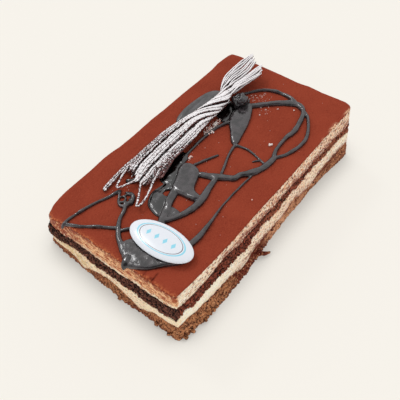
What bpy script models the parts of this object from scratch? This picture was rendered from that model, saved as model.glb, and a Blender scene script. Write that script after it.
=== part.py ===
"""Tiramisu slab: base sponge, cream, dark sponge, cream and a cocoa layer, topped with chocolate drizzle, a bundle of
chocolate strings, a sugar plaque and two pieces of chocolate. Lengths are in millimetres and become metres in add_mesh."""

import math

import bmesh
import bpy
import numpy as np

MM = 0.001
GAP = 0.35  # clear space between neighbouring layers
PLACE = np.array([1.3, 2.7, 0.0])  # moves the middle of the whole onto the origin
LENGTH = 212.8
WIDTH = 120.0
CORNER_Z = {"front_left": 50.8, "front_right": 50.8, "back_left": 39.7, "back_right": 44.0}
COCOA_THICK = 1.3
SIDE_STEPS = (34, 13, 18, 22)  # outline steps along the front, right, back and left sides
RING_SCALES = (1.0, 0.86, 0.45)
LACE_SHIFT = np.array([-1.2, -1.0])
SINK = 0.7  # how far the drizzle goes into the cocoa layer
RNG = np.random.default_rng(11)

# Top and bottom outlines, one run of (x, y) per side, each ending on the next side's first point.
TOP_SIDES = (
    ((-106, -59.0), (-90, -59.9), (-72, -60.4), (-52, -60.5), (-36, -60.0), (-18, -59.5), (0, -59.3), (18, -58.9),
     (36, -58.4), (54, -57.9), (72, -57.6), (90, -57.2), (102, -56.9), (105.6, -55.2)),
    ((105.6, -55.2), (107.4, -50), (106.9, -40), (106.4, -30), (106.9, -17), (105.6, -8), (106, 6), (106, 30),
     (106.2, 50), (105, 57.6)),
    ((105, 57.6), (101, 59.2), (88, 60.3), (80, 59.3), (60, 59.4), (44, 60), (20, 60.1), (6, 60.7), (-16, 60.3),
     (-30, 60.5), (-38, 61.7), (-46, 62.1), (-60, 61.5), (-86, 61.6), (-98, 60.6), (-104.6, 58.4)),
    ((-104.6, 58.4), (-107, 53), (-106.6, 46), (-105.9, 36), (-105.6, 25), (-106, 12), (-105.8, 0), (-106.2, -12),
     (-106, -26), (-106.3, -42), (-106.6, -52), (-106, -59.0)),
)
BOTTOM_SIDES = (
    ((-108.2, -61.4), (-90, -62), (-70, -61.8), (-40, -61.2), (0, -60.4), (30, -59.7), (55, -58.7), (79, -59.2),
     (98, -60.6), (105.6, -60.6)),
    ((105.6, -60.6), (107.5, -50), (107.4, -20), (107.2, 20), (107, 60.4)),
    ((107, 60.4), (60, 61.2), (0, 62), (-60, 63.2), (-104.6, 63.6)),
    ((-104.6, 63.6), (-106.4, 49), (-107.4, 31), (-108.5, 17), (-108.7, 2), (-109.4, -14), (-108.7, -28),
     (-108.2, -45), (-108.2, -61.4)),
)
# How far the base sponge bulges past that outline at the plate: (position along the side, bulge).
BASE_BULGE = (
    ((-108, 0.5), (-99, 2.2), (-90, 3.2), (-78, 4.4), (-63, 4.6), (-38, 4.6), (-25, 3.4), (-10, 1.8), (4, 0.7),
     (26, 0.0), (106, 0.4)),
    ((-60, 0.4), (60, 0.4)),
    ((-106, 0.4), (106, 0.4)),
    ((-61, 0.6), (-40, 0.3), (20, 0.2), (60, 0.6)),
)
# Heights of the three hidden joints between the layers along each side: (position, base top, cream top, sponge top).
JOINTS = (
    ((-107, 15, 22, 38.3), (-98, 15, 26.6, 36.5), (-90, 14, 23, 36), (-80, 13, 24.3, 37), (-70, 11, 24.5, 38),
     (-62, 10.5, 25, 41), (-50, 9, 23.5, 40), (-46, 6.5, 20.8, 37.5), (-43, 4.5, 25, 36.4), (-38, 2.6, 22, 36),
     (-33, 3, 20.3, 37.5), (-28, 4.5, 20.3, 37.5), (-24, 8.5, 25.8, 35.7), (-18, 9.3, 26.5, 36),
     (-12, 10.3, 28, 37), (-4, 10, 25, 35.6), (5, 10.5, 25, 35.5), (12, 9.5, 26.5, 36), (20, 11, 28.4, 36),
     (27, 15.3, 27, 36), (31, 15.8, 26, 36), (36, 11, 26, 35), (45, 9, 27, 34), (51, 7, 26, 36), (60, 9, 26.8, 34.6),
     (66, 11, 26, 34.2), (70, 14, 26.5, 34.4), (80, 14.5, 26, 36), (88, 15, 28.4, 35.5), (95, 15.5, 26.8, 33.6),
     (106, 15, 24.5, 35)),
    ((-56, 15, 24.5, 35), (-30, 12, 25, 36), (0, 13, 24, 34.5), (30, 11, 23, 33.5), (59, 12, 21.5, 32)),
    ((-105, 6, 12.5, 26), (-60, 8.5, 17, 29), (-20, 10, 20, 31), (30, 10, 21, 31), (80, 12, 22, 32),
     (105, 12, 21.5, 32)),
    ((-60, 15, 22, 38.3), (-50, 13.5, 20, 34.8), (-40, 13, 19.5, 33.6), (-35, 10, 19, 32.6), (-30, 6.5, 19.5, 33),
     (-25, 5, 20, 33), (-20, 9, 20.4, 33), (-10, 13, 19.5, 31), (0, 13.8, 19, 29.6), (10, 11, 17.2, 29.6),
     (20, 6.5, 17.6, 29.5), (24, 1.4, 18, 28.6), (28, 1.4, 17.6, 28), (31, 5.5, 17, 27.6), (40, 8, 15, 27.5),
     (50, 6, 12, 27), (59, 6, 12.5, 26)),
)
CORE_JOINT_Z = (11.5, 22.5, 34.0)  # the joints' heights in the middle of the slab
# Extra pushes of a joint's edge and of the dark sponge's side near a corner: (x, y, reach, push).
JOINT_PUSHES = (
    (),
    ((-107, -60, 6, -1.6), (-106, 60, 9, 0.8)),
    ((-106, 60, 9, 1.0),),
)
DARK_PUSHES = ((-107, -60, 6, -0.8), (-106, 60, 9, 2.0))
# Flakes of crumb that stick out of the base: (root, tip, half width, half thickness), each end (x, y, z).
FLAKES = (
    ((-24.5, -61.0, 4.2), (-15.2, -69.4, 3.2), 2.4, 1.5),
    ((-86.5, -61.5, 5.0), (-80.6, -66.9, 5.2), 1.9, 1.2),
    ((-90.5, -62.0, 3.4), (-85.4, -67.3, 3.4), 1.9, 1.3),
    ((-106.5, -41.0, 3.2), (-111.2, -44.6, 2.2), 2.0, 1.3),
)

# Drizzle lines: (x, y, width) along the middle of each, and (x, y, width, height above the top) for those that drip.
LINES = (
    ((-60, 30, 2.2), (-70, 33, 2.2), (-80, 37, 2.2), (-90, 39.5, 2.2), (-100, 41.5, 2.2), (-104.5, 41, 2.4)),
    ((-104.5, 40.5, 2.4), (-101, 32, 2.3), (-97, 26, 2.3), (-92, 18, 2.3), (-88, 11, 2.6), (-85.5, 7, 2.8)),
    ((-66, 20, 3.4), (-72, 15.5, 3.0), (-80, 12.5, 3.0), (-86, 8, 3.4), (-92, 2, 4.2), (-96, -5, 5.4),
     (-99, -12, 6.5)),
    ((-87, 5.5, 2.5), (-82, 1, 2.5), (-77, -6, 2.5)),
    ((-76, -39.4, 4.4), (-69, -40, 4.6), (-60, -40.5, 4.4), (-50, -39.5, 3.2), (-40, -38, 2.0), (-28, -36.4, 1.5),
     (-12, -36, 1.5), (4, -36.4, 1.5)),
    ((-19, 2, 7), (-14, -10, 6), (-11, -17, 6.6), (-8, -24, 5.4), (-5.5, -28, 5.6), (-1, -29.4, 4.8), (3, -33, 5),
     (10, -37, 5.4), (18, -39, 5), (28, -39.2, 4.4)),
    ((26, -39, 4), (33, -36, 3.1), (42, -34.7, 3.1), (50, -34.5, 4), (58, -35.5, 4.4), (68, -33.5, 4), (76, -31, 3.6),
     (81, -28, 4), (83.5, -24, 4.6)),
    ((27, -39.5, 3), (33, -43.5, 2.6), (40, -46, 3), (48, -47.3, 3), (56, -46.8, 3), (64, -43.5, 2.6),
     (72, -38.5, 2.5), (77, -34.5, 2.5), (80, -29.5, 3)),
    ((60, 9, 5), (66, 3, 5), (72, -3, 4.6), (78, -10, 5), (82, -16, 6), (83.5, -22, 5.4), (81, -28, 4.2)),
    ((66.5, 24, 2.2), (69, 21, 2.3), (74, 17.5, 2.3), (80, 13, 2.3), (84, 8, 2.5), (86.5, 2, 2.7), (87.5, -5, 2.8),
     (87, -12, 3.2), (84, -20, 4.4)),
    ((22, -8, 2.6), (10, -11, 2.1), (0, -15, 2.1), (-8, -18, 2.6)),
    ((21, -8.5, 2.4), (22.3, -15, 1.9), (22.2, -21, 1.7), (20.5, -28, 1.6), (19, -33, 1.6), (17.5, -38, 2)),
    ((14.5, -28.6, 1.4), (17.5, -31, 1.4), (19.4, -33.4, 1.6)),
    ((41, 10.5, 2.8), (36, 11, 2.6), (28, 14, 2.4), (20, 15, 2.4), (6, 15.2, 2.4), (-8, 14.5, 2.4), (-16, 12, 2.6)),
    ((-13, 3.6, 2.4), (-9, 2, 2), (-2, -1, 1.8), (6.5, -5, 1.6)),
    ((-36, 1.5, 8), (-50, -3.5, 6.2), (-58, -8, 5.6), (-65, -11, 5.2), (-72, -14, 5)),
    ((-65, -12, 4), (-57, -17.5, 4.5), (-50, -21, 4.6), (-42, -22.7, 5.4), (-33, -22, 5), (-25, -20.5, 3.8),
     (-17, -19.5, 3.6), (-10.5, -17, 4)),
    ((-34, -9, 8), (-37, -14, 6), (-35, -21, 5)),
    ((-60, 30, 2.2), (-62, 26.5, 2.6), (-60.5, 22, 3), (-64, 18.5, 3.4), (-69.5, 20, 3), (-70.5, 24, 2.6),
     (-67, 26.6, 2.4), (-62.5, 25.5, 2.4)),
)
DRIPS = (
    ((-99, -13.5, 5, 1.4), (-104, -15.4, 5, 1.3), (-107.6, -17, 3.6, 0.0), (-108.0, -17.6, 3.0, -2.0)),
    ((-101, 41.4, 2.4, 1), (-105, 41, 2.4, 1), (-107.4, 40.6, 2.4, -0.2), (-108.0, 40.2, 2.2, -2.2)),
)
# Flat pools of chocolate: (height, outline).
POOLS = (
    (2.7, ((-93, -2), (-97.5, -5.5), (-102, -10), (-105.6, -14), (-106.6, -17), (-105, -21), (-102.5, -27),
           (-99, -32), (-95, -35), (-90, -39.5), (-85, -44.5), (-80, -48), (-75, -46), (-73, -36), (-75, -22),
           (-80, -12), (-88, -5))),
    (3.2, ((-38.5, 5.5), (-30, 8.5), (-20, 10.5), (-14, 9), (-10.5, 5.5), (-9.5, 1), (-11.5, -3), (-16, -6.5),
           (-21, -8), (-28, -11), (-34, -14), (-38.5, -12), (-40, -6), (-41, 0))),
    (1.6, ((-63, 5.5), (-57, 9), (-50, 12), (-43, 11.5), (-36, 8), (-38, 2), (-49, -4), (-56, -8), (-62, -9.5),
           (-65.5, -3))),
    (2.7, ((49, 14.5), (38, 11), (30, 3), (22, -3.5), (19.5, -8), (23.5, -9.8), (32, -7), (42, -4.5), (52, -0.5),
           (60, 4), (65, 9), (60, 14))),
    (1.6, ((-61, -11), (-52, -7), (-51, -14), (-55, -18), (-61, -15))),
)

# Bundle of strings: (x, y, height above the top, half width, half thickness) along its core.
CORE = (
    (-50, 25.0, 3.6, 6.5, 1.3), (-40, 28.0, 3.9, 11.6, 1.9), (-20, 28.4, 4.4, 12.6, 2.3), (0, 27.8, 5.0, 11.4, 2.7),
    (15, 26.8, 6.2, 8.6, 3.4), (26, 25.2, 7.0, 6.4, 4.2), (40, 23.6, 7.6, 5.7, 4.5), (51, 23.4, 8.0, 4.8, 4.2),
    (60, 24.0, 8.3, 3.2, 3.3), (67, 26.0, 8.6, 5.0, 2.4), (75, 27.6, 9.0, 8.4, 1.6), (85, 27.2, 9.6, 10.2, 1.0),
    (91, 26.8, 10.0, 9.6, 0.8),
)
CORE_SIDES = 6
STRAND_COUNT = 11
STRAND_R = 1.0
TWIST_FROM = 14.0
TWIST_TO = 70.0
TWIST_TURN = 2.6  # radians the strands turn about the core between those x
LOOPS = (
    ((-40, 40.6, 3.2), (-52, 36.6, 3.6), (-57.4, 34, 3.8), (-62.6, 31, 4.0), (-63.6, 29.6, 4.0), (-62.2, 28.4, 4.0),
     (-57, 28.4, 4.0), (-50, 27, 3.8), (-42, 27, 4.0)),
    ((-42, 22.4, 4.2), (-49, 20.8, 4.2), (-55, 17.6, 4.2), (-62, 13, 4.2), (-67.6, 10, 4.2), (-68.6, 8.4, 4.2),
     (-66.8, 7.2, 4.2), (-60, 7.6, 4.2), (-52.6, 10.9, 4.3), (-44, 14.4, 4.4), (-32, 18.6, 4.6)),
    ((-69, 39.2, 1.3), (-60, 40.2, 1.4), (-42, 42, 1.8), (-26, 40.4, 3.0), (-16, 38.4, 4.0)),
)

PLAQUE_AT = (-80.4, -25.4, 3.1)  # middle of its underside: x, y, height above the top
PLAQUE_HALF = (12.4, 25.4)
PLAQUE_RINGS = ((0.86, 0.0), (0.96, 0.35), (1.0, 1.1), (0.97, 1.9), (0.88, 2.6), (0.7, 3.2), (0.4, 3.65))
PLAQUE_TOP = 3.8
PLAQUE_STEPS = 28

PETAL = ((12.5, 41.7), (18.5, 44.5), (28.5, 45.7), (38.5, 45.2), (48.5, 44), (55.5, 42.7), (60.5, 39.7), (62, 36),
         (58, 32), (50, 30.4), (38, 30.4), (26, 32.6), (17, 37))
PETAL_RINGS = ((0.94, 0.3), (1.0, 1.0), (0.94, 1.9), (0.7, 3.0), (0.35, 3.5))
PETAL_TOP = 3.6

# Chocolate lump: rings of (x, y) half sizes at heights above the top, with a turn and a shift for each.
LUMP_AT = (59.5, 12.0)
LUMP_RINGS = ((3.2, 5.5, 4.6, 0.0, 0.0, 0.0), (4.6, 7.6, 6.0, 0.3, 0.0, 0.0), (7.2, 6.8, 5.0, 0.55, 0.6, -0.4),
              (9.6, 4.4, 3.2, 0.9, 1.4, -0.8))
LUMP_STEPS = 9

COLOURS = {
    "base_sponge": (0.25, 0.10, 0.035),
    "cream": (0.80, 0.68, 0.50),
    "dark_sponge": (0.035, 0.013, 0.011),
    "cocoa": (0.29, 0.052, 0.026),
    "chocolate": (0.045, 0.038, 0.038),
    "silver_strings": (0.55, 0.54, 0.55),
    "sugar": (0.82, 0.84, 0.89),
}
ROUGHNESS = {"chocolate": 0.32, "silver_strings": 0.45, "sugar": 0.3, "cream": 0.55}


def top_z(x, y):
    """Height of the top: a patch through the four corner heights, with the back-left corner rounded down."""
    u = np.clip(np.asarray(x, float) / LENGTH + 0.5, 0.0, 1.0)
    v = np.clip(np.asarray(y, float) / WIDTH + 0.5, 0.0, 1.0)
    front = (1 - u) * CORNER_Z["front_left"] + u * CORNER_Z["front_right"]
    back = (1 - u) * CORNER_Z["back_left"] + u * CORNER_Z["back_right"]
    slump = 2.6 * np.exp(-((x + 107) ** 2 + (y - 60) ** 2) / (2 * 8.0**2))
    return (1 - v) * front + v * back - slump


def material(name):
    """The Principled material of this name, made on first use."""
    found = bpy.data.materials.get(name)
    if found is None:
        found = bpy.data.materials.new(name)
        found.use_nodes = True
        shader = found.node_tree.nodes["Principled BSDF"]
        shader.inputs["Base Color"].default_value = (*COLOURS[name], 1.0)
        shader.inputs["Roughness"].default_value = ROUGHNESS.get(name, 0.85)
        found.diffuse_color = (*COLOURS[name], 1.0)
    return found


def add_mesh(name, points, faces, slot, collection=None):
    """An object from points in millimetres, with its faces turned outward."""
    mesh = bpy.data.meshes.new(name)
    mesh.from_pydata([tuple(point) for point in (np.asarray(points, float) + PLACE) * MM], [], faces)
    work = bmesh.new()
    work.from_mesh(mesh)
    bmesh.ops.recalc_face_normals(work, faces=work.faces)
    bmesh.ops.triangulate(work, faces=work.faces)
    work.to_mesh(mesh)
    work.free()
    mesh.materials.append(material(slot))
    made = bpy.data.objects.new(name, mesh)
    (collection or bpy.context.scene.collection).objects.link(made)
    return made


def resample(points, steps):
    """Points at equal distances along a polyline, without its last end."""
    points = np.array(points, float)
    along = np.concatenate([[0.0], np.cumsum(np.linalg.norm(np.diff(points, axis=0), axis=1))])
    at = np.linspace(0.0, along[-1], steps, endpoint=False)
    return np.stack([np.interp(at, along, points[:, k]) for k in range(points.shape[1])], axis=1)


def outline(sides):
    """The closed outline made of four sides."""
    return np.concatenate([resample(side, steps) for side, steps in zip(sides, SIDE_STEPS)])


def along_sides(points, tables, column):
    """A value at each outline point, read from its side's table by x on the long sides and by y on the short ones."""
    values = []
    start = 0
    for side, steps in enumerate(SIDE_STEPS):
        table = np.array(tables[side], float)
        axis = side % 2
        values.append(np.interp(points[start:start + steps, axis], table[:, 0], table[:, column]))
        start += steps
    return np.concatenate(values)


def outward(points):
    """Unit normals of a closed outline that runs anticlockwise."""
    along = np.roll(points, -1, axis=0) - np.roll(points, 1, axis=0)
    normal = np.stack([along[:, 1], -along[:, 0]], axis=1)
    return normal / np.linalg.norm(normal, axis=1, keepdims=True)


TOP_LINE = outline(TOP_SIDES)
BOTTOM_LINE = outline(BOTTOM_SIDES)
NORMALS = outward(TOP_LINE)
BULGE = along_sides(BOTTOM_LINE, BASE_BULGE, 1)


def wall(z, push=0.0):
    """Outline of the slab's side at heights z, pushed outward by push."""
    share = np.clip(z / top_z(TOP_LINE[:, 0], TOP_LINE[:, 1]), 0.0, 1.0)[:, None]
    return BOTTOM_LINE + (TOP_LINE - BOTTOM_LINE) * share + NORMALS * np.reshape(push, (-1, 1))


def pushes_near(places):
    """Sum of the pushes that fall off around each place, at every outline point."""
    total = np.zeros(len(TOP_LINE))
    for x, y, reach, push in places:
        apart = np.sum((TOP_LINE - (x, y)) ** 2, axis=1)
        total += push * np.exp(-apart / (2 * reach**2))
    return total


def joint(level):
    """(outline, heights) of the joint between two layers at the slab's side: level 0, 1 or 2, and 3 for the cocoa."""
    if level == 3:
        line = TOP_LINE - 0.2 * NORMALS
        return line, top_z(line[:, 0], line[:, 1]) - COCOA_THICK
    heights = along_sides(TOP_LINE, JOINTS, level + 1)
    push = RNG.normal(0.0, 0.25, len(heights)) + pushes_near(JOINT_PUSHES[level])
    return wall(heights, push), heights


def sheet(line, heights, middle):
    """Rings from the outline to the middle; middle(x, y) gives the height there, and the ring next to it is between."""
    rings = []
    for scale, share in zip(RING_SCALES, (1.0, 0.4, 0.0)):
        flat = line * scale
        inner = middle(flat[:, 0], flat[:, 1])
        rings.append(np.column_stack([flat, inner + (heights - middle(line[:, 0], line[:, 1])) * share]))
    centre = np.array([0.0, 0.0, float(middle(0.0, 0.0))])
    return rings, centre


def layer(name, low, high, rows, slot):
    """A layer between two sheets: (rings, centre) below and above, with rows of points on its side between them."""
    count = len(low[0][0])
    rings = [*reversed(low[0]), *rows, *high[0]]
    points = np.concatenate([low[1][None], *rings, high[1][None]])
    faces = []
    for k in range(count):
        after = (k + 1) % count
        faces.append((0, 1 + after, 1 + k))
        last = 1 + (len(rings) - 1) * count
        faces.append((last + k, last + after, len(points) - 1))
        for row in range(len(rings) - 1):
            a = 1 + row * count
            b = a + count
            faces.append((a + k, a + after, b + after, b + k))
    return add_mesh(name, points, faces, slot)


def joint_middle(level):
    """Height of a joint inside the slab, following a little of the top's slope."""
    if level == 3:
        return lambda x, y: top_z(x, y) - COCOA_THICK
    share = (0.25, 0.5, 0.75)[level]
    return lambda x, y: CORE_JOINT_Z[level] + share * (top_z(x, y) - 46.0)


def lifted(part, amount):
    """The same sheet, higher."""
    up = np.array([0.0, 0.0, amount])
    return [ring + up for ring in part[0]], part[1] + up


def side_rows(low, high, shares, pushes):
    """Rows of points between two sheets' edges; pushes holds a (mean, spread) outward push for each."""
    rows = []
    for share, (mean, spread) in zip(shares, pushes):
        row = low[0][0] * (1 - share) + high[0][0] * share
        row[:, :2] += NORMALS * np.reshape(mean + RNG.normal(0.0, spread, len(row)), (-1, 1))
        rows.append(row)
    return rows


def build_layers():
    """The four food layers and the cocoa layer, each clear of the next by GAP."""
    sheets = [sheet(*joint(level), joint_middle(level)) for level in range(4)]
    floor = [np.column_stack([BOTTOM_LINE * scale, np.zeros(len(BOTTOM_LINE))]) for scale in RING_SCALES]
    floor[0][:, :2] += NORMALS * BULGE[:, None]
    floor = (floor, np.zeros(3))
    base_top = sheets[0]
    rows = []
    for share in (0.15, 0.6):
        row = floor[0][0] * (1 - share) + base_top[0][0] * share
        swell = BULGE * ((1 - share) ** 0.6 - (1 - share))
        row[:, :2] += NORMALS * (swell + RNG.normal(0.0, 0.45, len(row)))[:, None]
        rows.append(row)
    base = layer("base_sponge", floor, base_top, rows, "base_sponge")
    flakes = new_collection("flakes")
    for number, flake in enumerate(FLAKES):
        add_flake(f"flake_{number}", *flake, flakes)
    union(base, flakes, 0.2)
    low = lifted(sheets[0], GAP)
    layer("cream_lower", low, sheets[1], side_rows(low, sheets[1], (0.5,), ((0.35, 0.12),)), "cream")
    low = lifted(sheets[1], GAP)
    corner = pushes_near(DARK_PUSHES)
    rows = side_rows(low, sheets[2], (0.25, 0.7), ((corner, 0.45), (corner, 0.45)))
    layer("dark_sponge", low, sheets[2], rows, "dark_sponge")
    low = lifted(sheets[2], GAP)
    layer("cream_upper", low, sheets[3], side_rows(low, sheets[3], (0.5,), ((0.2, 0.2),)), "cream")
    low = lifted(sheets[3], GAP)
    high = sheet(TOP_LINE, top_z(TOP_LINE[:, 0], TOP_LINE[:, 1]), top_z)
    return layer("cocoa_top", low, high, [], "cocoa")


def add_flake(name, root, tip, wide, thick, collection):
    """A flat wedge of crumb from its root inside the sponge to a thinner tip."""
    root, tip = np.array(root), np.array(tip)
    along = (tip - root) / np.linalg.norm(tip - root)
    side = np.cross(along, (0.0, 0.0, 1.0))
    rings = []
    for share, scale in ((0.0, 1.0), (0.55, 0.95), (1.0, 0.5)):
        middle = root + (tip - root) * share
        rings.append([middle + scale * (wide * math.cos(a) * side + np.array([0.0, 0.0, thick * math.sin(a)]))
                      for a in np.linspace(0, 2 * math.pi, 6, endpoint=False)])
    return add_mesh(name, *skin(rings), "base_sponge", collection)


def smooth_path(points, step):
    """Points about step apart on a Catmull-Rom curve through the given ones."""
    points = np.array(points, float)
    ends = np.concatenate([[2 * points[0] - points[1]], points, [2 * points[-1] - points[-2]]])
    curve = []
    for k in range(1, len(ends) - 2):
        a, b, c, d = ends[k - 1:k + 3]
        count = max(1, round(float(np.linalg.norm((c - b)[:2])) / step))
        for t in np.arange(count) / count:
            bend = 0.5 * (2 * b + (c - a) * t + (2 * a - 5 * b + 4 * c - d) * t**2 + (3 * b - a - 3 * c + d) * t**3)
            curve.append(bend)
    curve.append(points[-1])
    return np.array(curve)


def skin(rings):
    """(points, faces) of a closed tube through rings of equal length."""
    rings = np.array(rings)
    count = rings.shape[1]
    faces = [tuple(range(count))[::-1], tuple(range((len(rings) - 1) * count, len(rings) * count))]
    for row in range(len(rings) - 1):
        for k in range(count):
            after = (k + 1) % count
            faces.append((row * count + k, row * count + after, (row + 1) * count + after, (row + 1) * count + k))
    return rings.reshape(-1, 3), faces


def add_line(name, path, collection):
    """A drizzle line with a rounded top, sunk into the cocoa layer, or hanging clear where heights are given."""
    hangs = len(path[0]) == 4
    curve = smooth_path(path, 9.0)
    along = np.gradient(curve[:, :2], axis=0)
    along /= np.linalg.norm(along, axis=1, keepdims=True)
    across = np.stack([along[:, 1], -along[:, 0]], axis=1)
    rings = []
    for point, side in zip(curve, across):
        width = point[2]
        tall = min(2.6, 0.35 + 0.62 * width)
        if hangs:
            profile = [(0.5 * width * math.cos(a), point[3] + 0.5 * width * math.sin(a))
                       for a in np.linspace(0, 2 * math.pi, 5, endpoint=False)]
        else:
            profile = [(-0.5, -SINK), (-0.5, 0.45 * tall), (0.0, tall), (0.5, 0.45 * tall), (0.5, -SINK)]
            profile = [(width * s, h) for s, h in profile]
        ring = []
        for s, h in profile:
            x, y = point[:2] + LACE_SHIFT + side * s
            ring.append((x, y, float(top_z(x, y)) + h))
        rings.append(ring)
    return add_mesh(name, *skin(rings), "chocolate", collection)


def add_pool(name, height, line, collection):
    """A flat pool with a rounded rim, sunk into the cocoa layer."""
    line = np.array(line, float) + LACE_SHIFT
    if np.sum(line[:, 0] * np.roll(line[:, 1], -1) - np.roll(line[:, 0], -1) * line[:, 1]) < 0:
        line = line[::-1]
    normal = outward(line)
    rings = []
    for inset, level in ((0.0, -SINK), (0.0, 0.45 * height), (0.9, height)):
        flat = line - inset * normal
        rings.append(np.column_stack([flat, top_z(flat[:, 0], flat[:, 1]) + level]))
    return add_mesh(name, *skin(rings), "chocolate", collection)


def union(target, collection, flat):
    """Fuses the collection's solids into target, then merges faces that differ by less than flat degrees."""
    modifier = target.modifiers.new("fuse", "BOOLEAN")
    modifier.operation = "UNION"
    modifier.operand_type = "COLLECTION"
    modifier.collection = collection
    modifier.solver = "MANIFOLD"
    bpy.context.view_layer.objects.active = target
    bpy.ops.object.modifier_apply(modifier="fuse")
    for piece in list(collection.objects):
        bpy.data.objects.remove(piece)
    bpy.data.collections.remove(collection)
    work = bmesh.new()
    work.from_mesh(target.data)
    bmesh.ops.dissolve_limit(work, angle_limit=math.radians(flat), verts=work.verts, edges=work.edges)
    bmesh.ops.triangulate(work, faces=work.faces)
    work.to_mesh(target.data)
    work.free()


def new_collection(name):
    """A collection in the scene for pieces that will be fused."""
    made = bpy.data.collections.new(name)
    bpy.context.scene.collection.children.link(made)
    return made


def build_drizzle(cocoa):
    """Lines, drips and pools fused onto the cocoa layer."""
    pieces = new_collection("drizzle")
    for number, path in enumerate((*LINES, *DRIPS)):
        add_line(f"line_{number}", path, pieces)
    for number, (height, line) in enumerate(POOLS):
        add_pool(f"pool_{number}", height, line, pieces)
    union(cocoa, pieces, 0.2)


def core_at(x):
    """(y, height, half width, half thickness) of the bundle's core at x."""
    table = np.array(CORE, float)
    return [float(np.interp(x, table[:, 0], table[:, k])) for k in range(1, 5)]


def strand_path(number):
    """A strand that lies on the core: across its width at the left, turned about it in the twist, fanned at the right."""
    start = 2 * math.pi * (number + 0.5) / STRAND_COUNT
    left = -56.0 + 12.0 * ((number * 5) % STRAND_COUNT) / STRAND_COUNT
    right = 95.0 + 8.0 * math.cos(start - 0.6 + TWIST_TURN)
    path = []
    for x in np.concatenate([np.linspace(left, TWIST_FROM, 5)[:-1], np.linspace(TWIST_FROM, TWIST_TO, 7),
                             np.linspace(TWIST_TO, right, 4)[1:]]):
        y, height, wide, thick = core_at(x)
        share = np.clip((x - TWIST_FROM) / (TWIST_TO - TWIST_FROM), 0.0, 1.0)
        angle = start + TWIST_TURN * share
        high = float(height + (thick + 0.1) * math.sin(angle))
        path.append((x, y + (wide + 0.2) * math.cos(angle), max(high, STRAND_R + 0.45)))
    return path


def add_strand(name, path, radius, collection):
    """A thin tube with few sides along (x, y, height above the top)."""
    path = np.array(path, float)
    points = np.column_stack([path[:, :2], top_z(path[:, 0], path[:, 1]) + path[:, 2]])
    along = np.gradient(points, axis=0)
    along /= np.linalg.norm(along, axis=1, keepdims=True)
    rings = []
    for point, direction in zip(points, along):
        side = np.cross(direction, (0.0, 0.0, 1.0))
        side /= np.linalg.norm(side)
        up = np.cross(side, direction)
        rings.append([point + radius * (math.cos(a) * side + math.sin(a) * up)
                      for a in (0.5 * math.pi, 1.17 * math.pi, 1.83 * math.pi)])
    return add_mesh(name, *skin(rings), "silver_strings", collection)


def build_skein():
    """The bundle of strings: a core with strands and end loops fused onto it."""
    rings = []
    for x, y, height, wide, thick in CORE:
        ring = []
        for a in np.linspace(0, 2 * math.pi, CORE_SIDES, endpoint=False):
            side = y + wide * math.cos(a)
            ring.append((x, side, float(top_z(x, side)) + height + thick * math.sin(a)))
        rings.append(ring)
    core = add_mesh("string_skein", *skin(rings), "silver_strings")
    strands = new_collection("strands")
    for number in range(STRAND_COUNT):
        add_strand(f"strand_{number}", strand_path(number), STRAND_R, strands)
    for number, path in enumerate(LOOPS):
        add_strand(f"loop_{number}", path, 0.8, strands)
    union(core, strands, 2.0)


def stack(name, centre, line, levels, peak, lift, slot):
    """A solid of scaled copies of an outline at rising heights above the top, closed below by a flat face."""
    points = []
    for scale, height in levels:
        flat = centre + line * scale
        points.append(np.column_stack([flat, top_z(flat[:, 0], flat[:, 1]) + lift + height]))
    tip = np.array([[*centre, float(top_z(*centre)) + lift + peak]])
    count = len(line)
    faces = [tuple(range(count))[::-1]]
    for row in range(len(levels) - 1):
        for k in range(count):
            after = (k + 1) % count
            faces.append((row * count + k, row * count + after, (row + 1) * count + after, (row + 1) * count + k))
    last = (len(levels) - 1) * count
    faces.extend((last + k, last + (k + 1) % count, len(levels) * count) for k in range(count))
    return add_mesh(name, np.concatenate([*points, tip]), faces, slot)


def build_plaque():
    """The domed oval of sugar that lies on the drizzle."""
    angles = np.linspace(0, 2 * math.pi, PLAQUE_STEPS, endpoint=False)
    line = np.stack([PLAQUE_HALF[0] * np.cos(angles), PLAQUE_HALF[1] * np.sin(angles)], axis=1)
    stack("plaque", np.array(PLAQUE_AT[:2]), line, PLAQUE_RINGS, PLAQUE_TOP, PLAQUE_AT[2], "sugar")


def build_petal():
    """The smooth petal of chocolate behind the bundle."""
    middle = np.mean(np.array(PETAL), axis=0)
    stack("chocolate_petal", middle, np.array(PETAL) - middle, PETAL_RINGS, PETAL_TOP, 0.0, "chocolate")


def build_lump():
    """The faceted chocolate lump beside the bundle."""
    angles = np.linspace(0, 2 * math.pi, LUMP_STEPS, endpoint=False)
    rings = []
    for height, wide, deep, turn, shift_x, shift_y in LUMP_RINGS:
        uneven = 1 + 0.12 * np.sin(3 * angles + 2 * turn)
        x = LUMP_AT[0] + shift_x + wide * uneven * np.cos(angles + turn)
        y = LUMP_AT[1] + shift_y + deep * uneven * np.sin(angles + turn)
        rings.append(np.column_stack([x, y, top_z(x, y) + height]))
    add_mesh("chocolate_lump", *skin(rings), "chocolate")


for leftover in list(bpy.data.objects):
    bpy.data.objects.remove(leftover)
build_drizzle(build_layers())
build_skein()
build_plaque()
build_petal()
build_lump()
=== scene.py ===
"""Looks of the tiramisu slab. Shapes are worked out in millimetres on the slab's own axes, x along its
front from the left and y from the front to the back. add_piece turns them into metres in the part's
frame."""

import itertools

import bpy
import numpy as np
from mathutils import Matrix, Vector


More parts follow.
